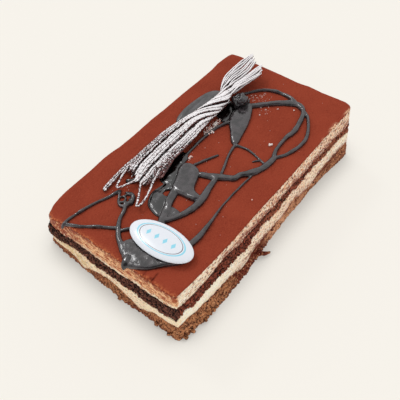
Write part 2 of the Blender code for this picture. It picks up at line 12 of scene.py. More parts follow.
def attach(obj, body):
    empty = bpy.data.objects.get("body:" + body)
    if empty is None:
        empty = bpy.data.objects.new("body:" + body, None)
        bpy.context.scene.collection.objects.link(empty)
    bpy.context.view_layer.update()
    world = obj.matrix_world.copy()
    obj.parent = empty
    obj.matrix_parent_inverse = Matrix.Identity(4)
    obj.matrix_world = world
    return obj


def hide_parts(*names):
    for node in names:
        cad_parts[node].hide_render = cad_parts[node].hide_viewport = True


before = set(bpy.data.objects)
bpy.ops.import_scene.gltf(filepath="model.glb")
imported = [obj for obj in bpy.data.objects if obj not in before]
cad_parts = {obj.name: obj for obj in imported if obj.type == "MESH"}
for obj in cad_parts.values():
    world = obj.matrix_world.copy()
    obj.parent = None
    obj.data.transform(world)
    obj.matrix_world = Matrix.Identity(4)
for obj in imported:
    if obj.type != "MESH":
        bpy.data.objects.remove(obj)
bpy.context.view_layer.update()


# ------------------------------------------------------------ base sponge
# The bottom layer is a brown coffee sponge, cut with a knife on all four sides, so its walls are open
# crumb. It spreads a little where it meets the plate, most along the front, and some crumbs hang off it.

MM = 0.001
PLACE = np.array([1.3, 2.7, 0.0])  # from the slab's own axes to the part's
LENGTH = 212.8
WIDTH = 120.0
FRONT_Z = (50.8, 50.8)  # heights of the top at the left and right end of the front, and of the back
BACK_Z = (39.7, 44.0)
SLUMP = (-107, 60, 8.0, 2.6)  # the slumped corner: x, y, reach, drop
STEPS = (400, 225, 400, 225)  # steps along the front, right, back and left

TOP_SIDES = (
    ((-106, -59), (-90, -59.9), (-72, -60.4), (-52, -60.5), (-36, -60), (-18, -59.5), (0, -59.3), (18, -58.9),
     (36, -58.4), (54, -57.9), (72, -57.6), (90, -57.2), (102, -56.9), (105.6, -55.2)),
    ((105.6, -55.2), (107.4, -50), (106.9, -40), (106.4, -30), (106.9, -17), (105.6, -8), (106, 6), (106, 30),
     (106.2, 50), (105, 57.6)),
    ((105, 57.6), (101, 59.2), (88, 60.3), (80, 59.3), (60, 59.4), (44, 60), (20, 60.1), (6, 60.7),
     (-16, 60.3), (-30, 60.5), (-38, 61.7), (-46, 62.1), (-60, 61.5), (-86, 61.6), (-98, 60.6),
     (-104.6, 58.4)),
    ((-104.6, 58.4), (-107, 53), (-106.6, 46), (-105.9, 36), (-105.6, 25), (-106, 12), (-105.8, 0),
     (-106.2, -12), (-106, -26), (-106.3, -42), (-106.6, -52), (-106, -59)),
)
BOTTOM_SIDES = (
    ((-108.2, -61.4), (-90, -62), (-70, -61.8), (-40, -61.2), (0, -60.4), (30, -59.7), (55, -58.7),
     (79, -59.2), (98, -60.6), (105.6, -60.6)),
    ((105.6, -60.6), (107.5, -50), (107.4, -20), (107.2, 20), (107, 60.4)),
    ((107, 60.4), (60, 61.2), (0, 62), (-60, 63.2), (-104.6, 63.6)),
    ((-104.6, 63.6), (-106.4, 49), (-107.4, 31), (-108.5, 17), (-108.7, 2), (-109.4, -14), (-108.7, -28),
     (-108.2, -45), (-108.2, -61.4)),
)
# How far the sponge spreads at the plate, for each side: (position along it, spread).
BASE_SPREAD = (
    ((-108, 0.5), (-99, 2.2), (-90, 3.2), (-78, 4.4), (-63, 4.6), (-38, 4.6), (-25, 3.4), (-10, 1.8),
     (4, 0.7), (26, 0), (106, 0.4)),
    ((-60, 0.4), (60, 0.4)),
    ((-106, 0.4), (106, 0.4)),
    ((-61, 0.6), (-40, 0.3), (20, 0.2), (60, 0.6)),
)
# Joints along each side: (position, height of the top of the base, of the lower cream, of the dark sponge).
JOINTS = (
    ((-107, 15, 22, 38.3), (-98, 15, 26.6, 36.5), (-90, 14, 23, 36), (-80, 13, 24.3, 37), (-70, 11, 24.5, 38),
     (-62, 10.5, 25, 41), (-50, 9, 23.5, 40), (-46, 6.5, 20.8, 37.5), (-43, 4.5, 25, 36.4),
     (-38, 2.6, 22, 36), (-33, 3, 20.3, 37.5), (-28, 4.5, 20.3, 37.5), (-24, 8.5, 25.8, 35.7),
     (-18, 9.3, 26.5, 36), (-12, 10.3, 28, 37), (-4, 10, 25, 35.6), (5, 10.5, 25, 35.5), (12, 9.5, 26.5, 36),
     (20, 11, 28.4, 36), (27, 15.3, 27, 36), (31, 15.8, 26, 36), (36, 11, 26, 35), (45, 9, 27, 34),
     (51, 7, 26, 36), (60, 9, 26.8, 34.6), (66, 11, 26, 34.2), (70, 14, 26.5, 34.4), (80, 14.5, 26, 36),
     (88, 15, 28.4, 35.5), (95, 15.5, 26.8, 33.6), (106, 15, 24.5, 35)),
    ((-56, 15, 24.5, 35), (-30, 12, 25, 36), (0, 13, 24, 34.5), (30, 11, 23, 33.5), (59, 12, 21.5, 32)),
    ((-105, 6, 12.5, 26), (-60, 8.5, 17, 29), (-20, 10, 20, 31), (30, 10, 21, 31), (80, 12, 22, 32),
     (105, 12, 21.5, 32)),
    ((-60, 15, 22, 38.3), (-50, 13.5, 20, 34.8), (-40, 13, 19.5, 33.6), (-35, 10, 19, 32.6),
     (-30, 6.5, 19.5, 33), (-25, 5, 20, 33), (-20, 9, 20.4, 33), (-10, 13, 19.5, 31), (0, 13.8, 19, 29.6),
     (10, 11, 17.2, 29.6), (20, 6.5, 17.6, 29.5), (24, 1.4, 18, 28.6), (28, 1.4, 17.6, 28),
     (31, 5.5, 17, 27.6), (40, 8, 15, 27.5), (50, 6, 12, 27), (59, 6, 12.5, 26)),
)
# Patches of sponge that the coffee has soaked dark: (x, y, z, half sizes in x, y and z, strength).
SOAKED = (
    (-40, -64, 2, 12, 8, 5, 1), (-15, -62, 2, 10, 8, 4, 0.7), (62, -59, 12, 5, 6, 4, 0.8),
    (83, -59, 11, 5, 6, 4, 0.7), (99, -60, 6, 6, 6, 6, 0.6), (-108, 12, 8, 5, 5, 5, 0.6),
    (-108, -30, 3, 6, 10, 4, 0.7), (-108, 50, 2, 6, 12, 4, 0.6), (-19, -66.5, 4, 6, 5, 4, 0.6),
)
# Torn hollows near the upper joint of the base along the front, pressed in and darkened with painted shade:
# (x, y, z, half sizes, strength).
HOLLOWS = (
    (65, -59, 9.8, 2.4, 6, 1.5, 1.5), (75, -59, 9.4, 3.2, 6, 1.6, 1.4), (80, -59, 4.5, 1.6, 6, 1.6, 1),
    (-22, -60, 6.4, 4, 6, 1.1, 1.1), (-11, -60, 8.8, 3.4, 6, 1, 1), (1, -60, 9, 3.8, 6, 1, 1.1),
    (19.5, -60, 9.6, 3.4, 6, 1.1, 1.1), (34, -59, 10, 3, 6, 1.1, 1.2), (52, -59, 2.4, 3, 6, 1.2, 0.8),
)
# Crumbs that hang off the foot of the base: (x, y, z, half length, half width, direction in degrees).
HANGING_CRUMBS = (
    (-21, -64, 4.2, 5.2, 1.9, -42), (-17.5, -67.4, 3.4, 3.4, 1.3, -30), (-85, -64, 5, 3.4, 1.7, -45),
    (-82, -66, 5.2, 1.9, 1.2, -10), (-89, -64.6, 3.2, 3.3, 1.8, -50), (-86.6, -66.6, 3.2, 1.5, 1.3, -80),
    (-108.3, -42.5, 3, 2.6, 1.6, 215), (-98, -64.6, 2.6, 2.4, 1.7, -70), (-104, -63.6, 2.2, 2.2, 1.7, -95),
    (-108.8, -54, 2.2, 2, 1.5, 190), (-109.2, -10, 2, 2.2, 1.4, 170), (-77, -66, 2.4, 2, 1.4, -60),
)


def ramp(value, start, end):
    """From 0 to 1 in a straight line while value goes from start to end."""
    return np.clip((value - start) / (end - start), 0, 1)


def eased(share):
    """A share from 0 to 1 that starts and stops gently: 3s^2 - 2s^3."""
    return share**2 * (3 - 2 * share)


def top_z(x, y):
    """Height of the top: a patch through the corner heights, less a bell at the slumped corner."""
    u = np.clip(x / LENGTH + 0.5, 0, 1)
    v = np.clip(y / WIDTH + 0.5, 0, 1)
    front = (1 - u) * FRONT_Z[0] + u * FRONT_Z[1]
    back = (1 - u) * BACK_Z[0] + u * BACK_Z[1]
    away = (x - SLUMP[0]) ** 2 + (y - SLUMP[1]) ** 2
    return (1 - v) * front + v * back - SLUMP[3] * np.exp(-away / (2 * SLUMP[2] ** 2))


def on_top(flat, height=0.0):
    """Points at a height above the top, from their x and y."""
    z = top_z(flat[..., 0], flat[..., 1]) + height
    return np.concatenate([flat, z[..., None]], axis=-1)


def lengths(line):
    """How far along a line each of its points lies."""
    return np.concatenate([[0.0], np.cumsum(np.linalg.norm(np.diff(line, axis=0), axis=1))])


def resample(line, steps):
    """Points at equal distances along a line, without its last end."""
    line = np.array(line, float)
    along = lengths(line)
    at = np.linspace(0, along[-1], steps, endpoint=False)
    return np.stack([np.interp(at, along, column) for column in line.T], axis=1)


def rounded(values, reach):
    """Values round a closed line, each blended with its neighbours by a bell `reach` steps wide."""
    turns = np.fft.fftfreq(len(values)).reshape(-1, *[1] * (values.ndim - 1))
    bell = np.exp(-2 * (np.pi * turns * reach) ** 2)
    return np.real(np.fft.ifft(np.fft.fft(values, axis=0) * bell, axis=0))


def outline(sides):
    """The closed outline of four sides, anticlockwise from the front left corner."""
    return rounded(np.concatenate([resample(side, steps) for side, steps in zip(sides, STEPS)]), 1.6)


def outward_from(line):
    """Directions square to a closed anticlockwise line, from the neighbours of each point."""
    way = np.roll(line, -1, axis=0) - np.roll(line, 1, axis=0)
    return np.stack([way[:, 1], -way[:, 0]], axis=1) / np.linalg.norm(way, axis=1)[:, None]


def along_sides(tables, column):
    """A value at each outline point from its side's table, by x on the long sides and y on the others."""
    starts = np.cumsum((0, *STEPS))
    values = [np.interp(TOP[starts[k]:starts[k + 1], k % 2], *np.array(tables[k], float).T[[0, column]])
              for k in range(4)]
    return rounded(np.concatenate(values), 2.5)


def grain(points, size, seed):
    """Smooth noise from -1 to 1: the eight corners of a lattice cell `size` wide get values from a sine
    hash, and are blended by the eased distance on each axis."""
    cell = np.asarray(points, float) / size
    low = np.floor(cell)
    ease = eased(cell - low)
    total = 0.0
    for corner in itertools.product((0, 1), repeat=3):
        scatter = np.sin((low + corner) @ (127.1, 311.7, 74.7) + 19.19 * seed) * 43758.5453
        share = np.prod(np.where(corner, ease, 1 - ease), axis=-1)
        total = total + share * (2 * (scatter - np.floor(scatter)) - 1)
    return total


def lumps(points, size, seed):
    """Rounded lumps with creases between them, from 0 to 1: the smooth noise without its sign."""
    return np.minimum(1.0, 1.8 * np.abs(grain(points, size, seed)))


def bells(points, places):
    """The sum of bell curves round each place: x, y, z, the half sizes on each axis, and the strength."""
    total = np.zeros(points.shape[:-1])
    for place in places:
        apart = (points - place[:3]) / place[3:6]
        total += place[6] * np.exp(-0.5 * np.sum(apart**2, axis=-1))
    return total


def wall(heights):
    """Points of the slab's side at rows of heights: the bottom outline blends into the top one."""
    share = np.clip(heights / top_z(*TOP.T), 0, 1)[..., None]
    return np.concatenate([BOTTOM + (TOP - BOTTOM) * share, heights[..., None]], axis=-1)


def joint_height(level):
    """Ragged height of a joint at the side: its table, and noise where crumbs break the line."""
    height = along_sides(JOINTS, level + 1)
    edge = wall(height)
    return height + 0.55 * grain(edge, 3.1, 30 + level) + 0.3 * grain(edge, 1.2, 40 + level)


def bands(index):
    """Faces with four corners between rows of point numbers that run round."""
    after = np.roll(index, -1, axis=1)
    return np.stack([index[:-1], after[:-1], after[1:], index[1:]], axis=-1).reshape(-1, 4)


def fan(middle, ring):
    """Faces with three corners from a middle point to a ring."""
    return np.stack([np.full(len(ring), middle), ring, np.roll(ring, -1)], axis=1)


def shell(rings):
    """A closed surface: rings joined in order, with a point in the middle of the first and last."""
    index = np.arange(rings.size // 3).reshape(rings.shape[:2])
    points = np.concatenate([rings.reshape(-1, 3), rings[:1].mean(axis=1), rings[-1:].mean(axis=1)])
    first, last = fan(index.size, index[0, ::-1]), fan(index.size + 1, index[-1])
    return points, [*bands(index).tolist(), *first.tolist(), *last.tolist()]


def joined(parts):
    """One surface from several (points, faces)."""
    starts = np.cumsum([0, *(len(points) for points, _ in parts)])
    faces = [[corner + start for corner in face]
             for start, (_, part) in zip(starts.tolist(), parts) for face in part]
    return np.concatenate([points for points, _ in parts]), faces


def layer(low, high, push, rows):
    """A layer's surface from the middle of its underside, out to the side, up and back. low and high are
    the heights of its joints at the side, and push(points, share) moves the side's points outward. Also
    gives each point's height above the lower joint and depth below the upper one."""
    share = np.linspace(0, 1, rows)[:, None]
    heights = low + (high - low) * share
    side = wall(heights)
    side[..., :2] += OUTWARD * push(side, share)[..., None]
    inward = np.column_stack([1.5 * OUTWARD, np.zeros(len(OUTWARD))])
    near = side[[0, -1]] - inward
    middle = near * (0.6, 0.6, 1.0)
    middle[..., 2] = np.maximum(middle[..., 2] + [[0.4], [-2.5]], 0.2)
    thick = high - low
    above = np.concatenate([0 * thick, 0 * thick, (heights - low).ravel(), thick, thick, [0.0, thick[-1]]])
    below = np.concatenate([thick, thick, (high - heights).ravel(), 0 * thick, 0 * thick, [thick[-1], 0.0]])
    return shell(np.stack([middle[0], near[0], *side, near[1], middle[1]])), above, below


def ball(around, rows, tip):
    """A ball of radius 1: rings of `around` points about z, at even angles up to `tip` from its middle."""
    turn = np.linspace(0, 2 * np.pi, around, endpoint=False)
    up = np.linspace(-tip, tip, rows)[:, None]
    return np.stack([np.cos(up) * np.cos(turn), np.cos(up) * np.sin(turn), np.sin(up) + 0 * turn], axis=-1)


def turned(points, degrees):
    """Points turned about the vertical."""
    angle = np.radians(degrees)
    east, north = np.cos(angle), np.sin(angle)
    return points @ np.array([[east, north, 0], [-north, east, 0], [0, 0, 1]])


def crumb(x, y, z, long, wide, degrees, seed):
    """A rough lump: a ball stretched along one direction, with its surface moved by noise."""
    even = np.roll(ball(14, 12, np.pi / 2 - 0.12), 1, axis=-1)
    rough = 1 + 0.35 * grain(even * 3, 1.6, seed) + 0.25 * grain(even * 3, 0.8, seed + 5)
    made = turned(even * rough[..., None] * (long, wide, 0.8 * wide), degrees) + (x, y, z)
    made[..., 2] = np.maximum(made[..., 2], 0.1)
    return shell(made)


def paint(red, green, blue):
    """The linear colour of an 8-bit display colour."""
    value = np.array([red, green, blue]) / 255
    return (*np.where(value <= 0.04045, value / 12.92, ((value + 0.055) / 1.055) ** 2.4), 1.0)


class Nodes:
    """A tree of nodes, built one by one."""

    def __init__(self, tree):
        self.tree = tree

    def put(self, socket, value):
        """Links a socket, or sets a plain value."""
        if isinstance(value, bpy.types.NodeSocket):
            self.tree.links.new(value, socket)
        else:
            socket.default_value = value

    def node(self, kind, output, inputs, **settings):
        """One output of a new node, whose inputs come by name or number."""
        made = self.tree.nodes.new("ShaderNode" + kind)
        for name, value in settings.items():
            setattr(made, name, value)
        for name, value in inputs.items():
            self.put(made.inputs[name], value)
        return made.outputs[output]

    def math(self, operation, *values):
        """The result of one sum on numbers or sockets."""
        return self.node("Math", 0, dict(enumerate(values)), operation=operation)

    def ease(self, value, start, end, low=0.0, high=1.0):
        """A smooth step that goes from low to high while value goes from start to end."""
        inputs = {"Value": value, "From Min": start, "From Max": end, "To Min": low, "To Max": high}
        return self.node("MapRange", 0, inputs, interpolation_type="SMOOTHSTEP")


class Finish(Nodes):
    """A material: a first colour with others laid over it, in patterns on Object coordinates, sized in
    millimetres."""

    def __init__(self, name, look, roughness, shine):
        self.material = bpy.data.materials.new(name)
        self.material.use_nodes = True
        super().__init__(self.material.node_tree)
        self.place = self.node("TexCoord", "Object", {})
        self.look = look
        self.shade("Base Color", look)
        self.shade("Roughness", roughness)
        self.shade("Specular IOR Level", shine)

    def shade(self, name, value):
        """Gives the shader's own socket a value."""
        self.put(self.tree.nodes["Principled BSDF"].inputs[name], value)

    def stretched(self, x, y, z):
        """Object coordinates scaled on each axis, which makes a pattern narrower there."""
        return self.node("Mapping", 0, {"Vector": self.place, "Scale": (x, y, z)})

    def noise(self, size, detail=2, rough=0.5, place=None):
        """Cloudy noise from 0 to 1 with patches about `size` across."""
        inputs = {"Vector": place or self.place, "Scale": 1 / (size * MM), "Detail": detail}
        return self.node("TexNoise", "Fac", {**inputs, "Roughness": rough})

    def mark(self, name):
        """A value that the mesh holds for each of its points."""
        return self.node("Attribute", "Fac", {}, attribute_name=name)

    def blend(self, share, first, second):
        """A colour between two colours."""
        return self.node("Mix", 2, {0: share, 6: first, 7: second}, data_type="RGBA")

    def over(self, colour, share, mark=None):
        """Lays a colour over the surface by a share of at most 1, times a mark if one is named."""
        if mark:
            share = self.math("MULTIPLY", self.mark(mark), share)
        self.look = self.blend(share, self.look, colour)
        self.shade("Base Color", self.look)

    def patchy(self, colour, size, start, end, mark=None, detail=3, rough=0.6, place=None):
        """Lays a colour over in soft-edged patches, where noise goes from start to end."""
        self.over(colour, self.ease(self.noise(size, detail, rough, place), start, end), mark)

    def bump(self, *layers):
        """Fine relief: noise of each (size, detail, depth), added to the one before."""
        below = {}
        for size, detail, depth in layers:
            inputs = {"Height": self.noise(size, detail), "Distance": depth * MM, **below}
            below = {"Normal": self.node("Bump", 0, inputs)}
        self.shade("Normal", below["Normal"])


def add_piece(name, surface, finish, slot, *nodes, **marks):
    """A piece from (points, faces) in millimetres, which stands for the named CAD nodes. Each mark holds
    one value for each point, and 0 past its last."""
    points, faces = surface
    mesh = bpy.data.meshes.new(name)
    mesh.from_pydata(((points + PLACE) * MM).tolist(), [], faces)
    mesh.shade_smooth()
    mesh.materials.append(finish.material)
    for mark, values in marks.items():
        held = np.zeros(len(points), np.float32)
        held[:np.size(values)] = np.ravel(values)
        mesh.attributes.new(mark, "FLOAT", "POINT").data.foreach_set("value", held)
    made = bpy.data.objects.new(name, mesh)
    bpy.context.scene.collection.objects.link(made)
    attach(made, "root")
    if nodes:
        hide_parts(*nodes)


def left_side(points):
    """From 0 to 1 as points come to the left side."""
    return ramp(points[..., 0], -103.2, -104.8)


def front_side(points):
    """From 0 to 1 as points come to the front."""
    return ramp(points[..., 1], -50, -54)


def calmer(points):
    """A share for marks that are full along the front, weaker round the back, and gone along the left."""
    return (1 - left_side(points)) * (1 - 0.5 * ramp(points[..., 1], -20, 10))


def base_crests(points):
    """The crumb of the base from 0 in its pits to 1 on its crests, in lumps of 2.4 and 1.15 mm."""
    return np.clip(0.75 * lumps(points, 2.4, 2) + 0.45 * lumps(points, 1.15, 3), 0, 1)


def base_push(points, share):
    """Spread at the foot, swells and hollows, and the crumb, which lies flatter in the right half."""
    open_crumb = np.clip(0.75 - points[..., 0] / 60, 0.5, 1.2)
    swells = 0.4 * grain(points, 4.5, 1) - 0.5 * bells(points, HOLLOWS)
    return SPREAD * (1 - share) ** 0.6 + swells + open_crumb * (1.2 * base_crests(points) - 0.8)


TOP = outline(TOP_SIDES)
BOTTOM = outline(BOTTOM_SIDES)
OUTWARD = rounded(outward_from(TOP), 2.0)
SPREAD = along_sides(BASE_SPREAD, 1)
HEIGHTS = [joint_height(level) for level in range(3)]

sponge = Finish("coffee_sponge", paint(50, 22, 14), roughness=0.9, shine=0.12)
# Painted highlight and shade: the crumb's crests are painted light and its pits are left dark.
crest = sponge.math("MULTIPLY_ADD", sponge.noise(1.6, 3, 0.6), 2.2, sponge.mark("crest"))
sponge.over(paint(196, 132, 90), sponge.ease(crest, 1.05, 2.1))
sponge.over(paint(96, 44, 30), sponge.ease(sponge.noise(3.4, 3, 0.6), 0.54, 0.64, 0, 0.6))
sponge.patchy(paint(218, 156, 118), 5.0, 0.34, 0.5, "tan", rough=0.5)
sponge.patchy(paint(116, 54, 40), 2.5, 0.3, 0.55, "soaked", rough=0.5)
sponge.patchy(paint(226, 168, 122), 1.2, 0.58, 0.68)
sponge.patchy(paint(52, 22, 16), 1.5, 0.45, 0.37, detail=2)
# Painted shade in the torn hollows.
sponge.patchy(paint(92, 34, 22), 1.8, 0.32, 0.5, "hollow")
sponge.bump((1.3, 3, 0.5), (0.5, 2, 0.2))

base, above, below = layer(np.zeros(len(TOP)), HEIGHTS[0], base_push, rows=36)
base = joined([base, *(crumb(*place, number) for number, place in enumerate(HANGING_CRUMBS))])
x, z = base[0].T[[0, 2]]
on_front = front_side(base[0])
soaked = bells(base[0], SOAKED) + 0.15 * left_side(base[0]) + 0.25 * ramp(x, 10, 40) * on_front
soaked[:len(above)] += 0.5 * np.exp(-above / 1.5) + 0.75 * np.exp(-below / 1.4) * on_front[:len(above)]
add_piece("base_sponge_crumb", base, sponge, "base_sponge", "base_sponge", soaked=soaked,
          tan=np.interp(x, (-22, 0, 40, 60, 85), (0, 1.3, 0.8, 0.7, 0.2)) * on_front,
          hollow=bells(base[0], HOLLOWS), crest=base_crests(base[0]) + 0.15 * (z > 0) - 0.05)


# ------------------------------------------------------------ lower cream
# Mascarpone cream spread on the base. It is smooth and slightly yellow where the knife wiped it along the
# left, and along the front it has fine pores, dragged crumbs and a few cracks.

# Crumb dragged into the cream: (x, y, z, half sizes, strength).
LOWER_CREAM_STAINS = (
    (64.5, -60, 12, 3, 6, 2.5, 1.2), (-19, -61, 11, 7, 6, 0.9, 1), (-13, -61, 14, 6, 6, 0.5, 1),
    (-22, -61, 8.6, 5, 6, 0.8, 0.8), (30, -60, 17, 7, 6, 1.6, 0.6), (86, -60, 17, 6, 6, 1.4, 0.5),
    (45, -60, 12, 6, 6, 1.6, 0.6), (-45, -60, 7, 5, 6, 1.8, 0.9), (97, -60, 18, 6, 6, 1.5, 0.4),
    (14, -60, 12, 9, 6, 0.6, 0.8), (52, -60, 10, 8, 6, 0.5, 0.8), (-52, -62, 10, 4, 6, 1.4, 0.7),
    (-22, -60, 13.6, 4, 6, 0.7, 1.1), (-11, -60, 12, 4, 6, 0.6, 1.1), (-33, -61, 11.4, 4, 6, 0.7, 1.1),
)
# Where the cream has gone darker and yellower: (x, y, z, half sizes, strength).
YELLOWED = ((-108, 40, 13, 5, 12, 6, 0.9), (-108, 27, 10, 5, 6, 6, 0.6))


def lower_cream_push(points, share):
    """A slight bulge, and soft waves with a faint pull of the knife along the side."""
    waves = 0.22 * grain(points, 7, 11) + 0.16 * grain(points, 2.2, 12) + 0.06 * grain(points, 0.9, 13)
    return 0.45 * np.sin(np.pi * share) ** 0.7 + waves


def cream_finish(name, roughness, shine):
    """Ivory cream: peach where the marks say so, with rosy patches, pores and crumb dragged in at its
    joints. Light goes a millimetre into it."""
    made = Finish(name, paint(255, 247, 226), roughness, shine)
    made.patchy(paint(249, 234, 206), 6, 0.35, 0.65, rough=0.5)
    made.over(paint(246, 206, 172), made.mark("peach"))
    made.over(paint(250, 228, 194), made.mark("left"))
    made.patchy(paint(224, 198, 146), 3.0, 0.35, 0.6, "yellow", rough=0.5)
    made.patchy(paint(222, 156, 116), 2.4, 0.44, 0.66, "specks")
    pores = made.node("TexVoronoi", "Distance", {"Vector": made.place, "Scale": 1 / (2.5 * MM)})
    made.over(paint(98, 42, 26), made.ease(pores, 0.38, 0.25), "specks")
    made.patchy(paint(140, 76, 54), 1.5, 0.56, 0.65, "specks", place=made.stretched(0.35, 1.0, 1.6))
    made.patchy(paint(132, 62, 42), 1.8, 0.38, 0.54, "stain")
    made.shade("Subsurface Weight", 0.15)
    made.shade("Subsurface Radius", (1.0, 0.6, 0.35))
    made.shade("Subsurface Scale", 1.2 * MM)
    return made


cream = cream_finish("spread_cream", roughness=0.55, shine=0.3)
cream.bump((2.0, 3, 0.25), (0.6, 2, 0.08))
lower_cream, above, below = layer(HEIGHTS[0] - 0.1, HEIGHTS[1], lower_cream_push, rows=30)
x, y = lower_cream[0].T[:2]
on_left = left_side(lower_cream[0])
calm = calmer(lower_cream[0])
add_piece("cream_lower_spread", lower_cream, cream, "cream", "cream_lower", left=on_left,
          peach=np.interp(x, (-55, 0, 40, 90), (0, 0.5, 0.5, 0.1)) * (1 - on_left),
          yellow=bells(lower_cream[0], YELLOWED),
          specks=np.interp(x, (-75, -20, 40, 95), (0.1, 0.75, 0.7, 0.4)) * calm
          + np.interp(y, (-40, -25), (0.15, 0.42)) * on_left,
          stain=bells(lower_cream[0], LOWER_CREAM_STAINS) + 0.9 * np.exp(-above / 0.9)
          + 0.7 * np.exp(-above / 2.0) * calm * (x > -25))


# ------------------------------------------------------------ dark sponge
# A chocolate sponge soaked almost black. Its crumb is coarse and torn, with painted highlights on its crests
# and on small specks, painted shade in its pits and just under the upper cream, and painted light on patches
# of the front. It steps back from the creams at the near corner and out past them at the slumped one.

# Where the sponge steps in or out at a corner: (x, y, reach, push).
DARK_PUSHES = ((-107, -60, 6, -0.8), (-106, 60, 9, 2))


def dark_crests(points):
    """The crumb of the dark sponge from 0 in its pits to 1 on its crests, in lumps of 3, 1.6 and 0.8 mm."""
    crumbs = 0.5 * lumps(points, 3.0, 21) + 0.4 * lumps(points, 1.6, 22) + 0.25 * lumps(points, 0.8, 23)
    return np.clip(crumbs, 0, 1)


def dark_push(points, share):
    """Steps near two corners, which fall off by a bell round each, and torn crumb."""
    step = sum(push * np.exp(-np.sum((TOP - (x, y)) ** 2, axis=1) / (2 * reach**2))
               for x, y, reach, push in DARK_PUSHES)
    return step * np.sin(np.pi * np.clip(share, 0.08, 0.92)) ** 0.5 + 2.1 * dark_crests(points) - 1.4


torn = Finish("chocolate_sponge", paint(13, 5, 5), roughness=0.85, shine=0.12)
# Painted highlight and shade: crests of the crumb are painted light and its pits stay black.
crest = torn.math("MULTIPLY_ADD", torn.noise(1.5, 3, 0.6), 2.6, torn.mark("crest"))
torn.over(paint(134, 82, 66), torn.ease(crest, 1.45, 2.6))
torn.over(torn.blend(torn.ease(crest, 1.4, 2.6), paint(22, 5, 4), paint(168, 84, 62)), torn.mark("front"))
torn.patchy(paint(140, 72, 50), 1.8, 0.35, 0.55, "foot", rough=0.5)
# Painted light: lighter patches where the front is lit.
torn.patchy(paint(190, 120, 88), 1.7, 0.44, 0.58, "lit")
# Painted highlights: small light specks on the crumb.
torn.patchy(paint(160, 112, 92), 1.1, 0.6, 0.7)
torn.patchy(paint(12, 4, 4), 1.7, 0.45, 0.37, detail=2)
# Painted shade just under the upper cream.
torn.over(paint(14, 5, 5), torn.ease(torn.mark("shade"), 0.3, 0.9))
torn.bump((1.2, 3, 0.6), (0.5, 2, 0.2))

dark_sponge, above, below = layer(HEIGHTS[1] - 0.1, HEIGHTS[2], dark_push, rows=34)
x = dark_sponge[0][:, 0]
on_left = left_side(dark_sponge[0])
# The shade mark is painted shade under the upper cream, stronger to the left; lit is painted light on the
# front.
add_piece("dark_sponge_crumb", dark_sponge, torn, "dark_sponge", "dark_sponge",
          crest=dark_crests(dark_sponge[0]), front=1 - on_left,
          shade=np.exp(-below / 1.3) * np.clip(1.1 - x / 200, 0.6, 1.1),
          lit=np.interp(x, (-20, 0, 20, 45, 60), (0, 0.5, 0.1, 0.1, 0.45)) * front_side(dark_sponge[0]),
          foot=np.exp(-(above / 1.6) ** 2) * (0.9 - 0.4 * on_left))


# ------------------------------------------------------------ upper cream
# The upper cream is cut clean along the front, where it shows pores and specks, and rubbed with cocoa along
# the left, where it is orange with paler streaks low down near the front corner.

COCOA_THICK = 1.3
# Crumb dragged into the cream: (x, y, z, half sizes, strength).
UPPER_CREAM_STAINS = (
    (-43, -61, 42, 4, 6, 1.6, 1), (-30, -61, 38.5, 5, 6, 1.2, 1.2), (-58, -61, 43, 2.5, 6, 1.2, 0.8),
    (97, -58, 38, 4, 6, 2.5, 0.8), (20, -60, 38, 9, 6, 1.3, 0.6), (52, -59, 38, 8, 6, 1.6, 0.9),
    (70, -59, 38, 7, 6, 1.4, 0.9), (2, -60, 38, 6, 6, 1.2, 0.7), (-16, -60, 38.5, 6, 6, 1.3, 0.8),
    (-36, -61, 40, 3, 6, 4, 0.7), (-24, -61, 39, 3, 6, 3, 0.6),
)


def upper_cream_push(points, share):
    """A cut face with shallow pores, rougher where the cocoa is rubbed on along the left."""
    rough = 0.14 + 0.3 * left_side(points)
    return 0.12 + 0.12 * grain(points, 5, 31) + rough * grain(points, 1.5, 32)


dusted = cream_finish("dusted_cream", roughness=0.6, shine=0.25)
cut_face = dusted.look
strokes = dusted.stretched(1.0, 0.35, 1.0)
dusted.look = paint(170, 84, 42)
dusted.patchy(paint(252, 198, 148), 1.7, 0.4, 0.6, detail=4, rough=0.65, place=strokes)
dusted.patchy(paint(255, 236, 204), 2.2, 0.36, 0.54, "pale", rough=0.55, place=strokes)
dusted.patchy(paint(144, 62, 36), 1.8, 0.36, 0.56, "rubbed")
dusted.patchy(paint(106, 46, 28), 1.2, 0.4, 0.33, detail=2)
rubbed_face = dusted.look
dusted.look = cut_face
dusted.over(rubbed_face, dusted.mark("dust"))
dusted.bump((1.3, 3, 0.5), (0.5, 2, 0.15))

upper_edge = top_z(*TOP.T) - COCOA_THICK + 0.1
upper_cream, above, below = layer(HEIGHTS[2] - 0.1, upper_edge, upper_cream_push, rows=30)
x, y = upper_cream[0].T[:2]
on_left = left_side(upper_cream[0])
dragged = np.interp(x, (-90, -55, -35, -15, 10), (0, 0.8, 1.3, 1.2, 0.8)) * np.exp(-above / 2.6)
add_piece("cream_upper_spread", upper_cream, dusted, "cream", "cream_upper",
          dust=on_left, peach=np.clip((x + 100) / 120, 0.05, 0.5),
          pale=1.3 * np.exp(-((above - 1.2) / 1.4) ** 2) * (1 - ramp(y, -10, 50))
          + 0.9 * np.exp(-((above - 1.0) / 1.0) ** 2 - ((y - 38) / 9) ** 2),
          rubbed=1.4 * np.exp(-below / 1.6) + ramp(y, 22, 42) + 0.8 * np.exp(-above / 0.8),
          specks=np.interp(x, (-105, -80, -50), (0.5, 0.8, 1.2)) * calmer(upper_cream[0]),
          stain=(bells(upper_cream[0], UPPER_CREAM_STAINS) + np.exp(-above) + dragged) * (1 - on_left))
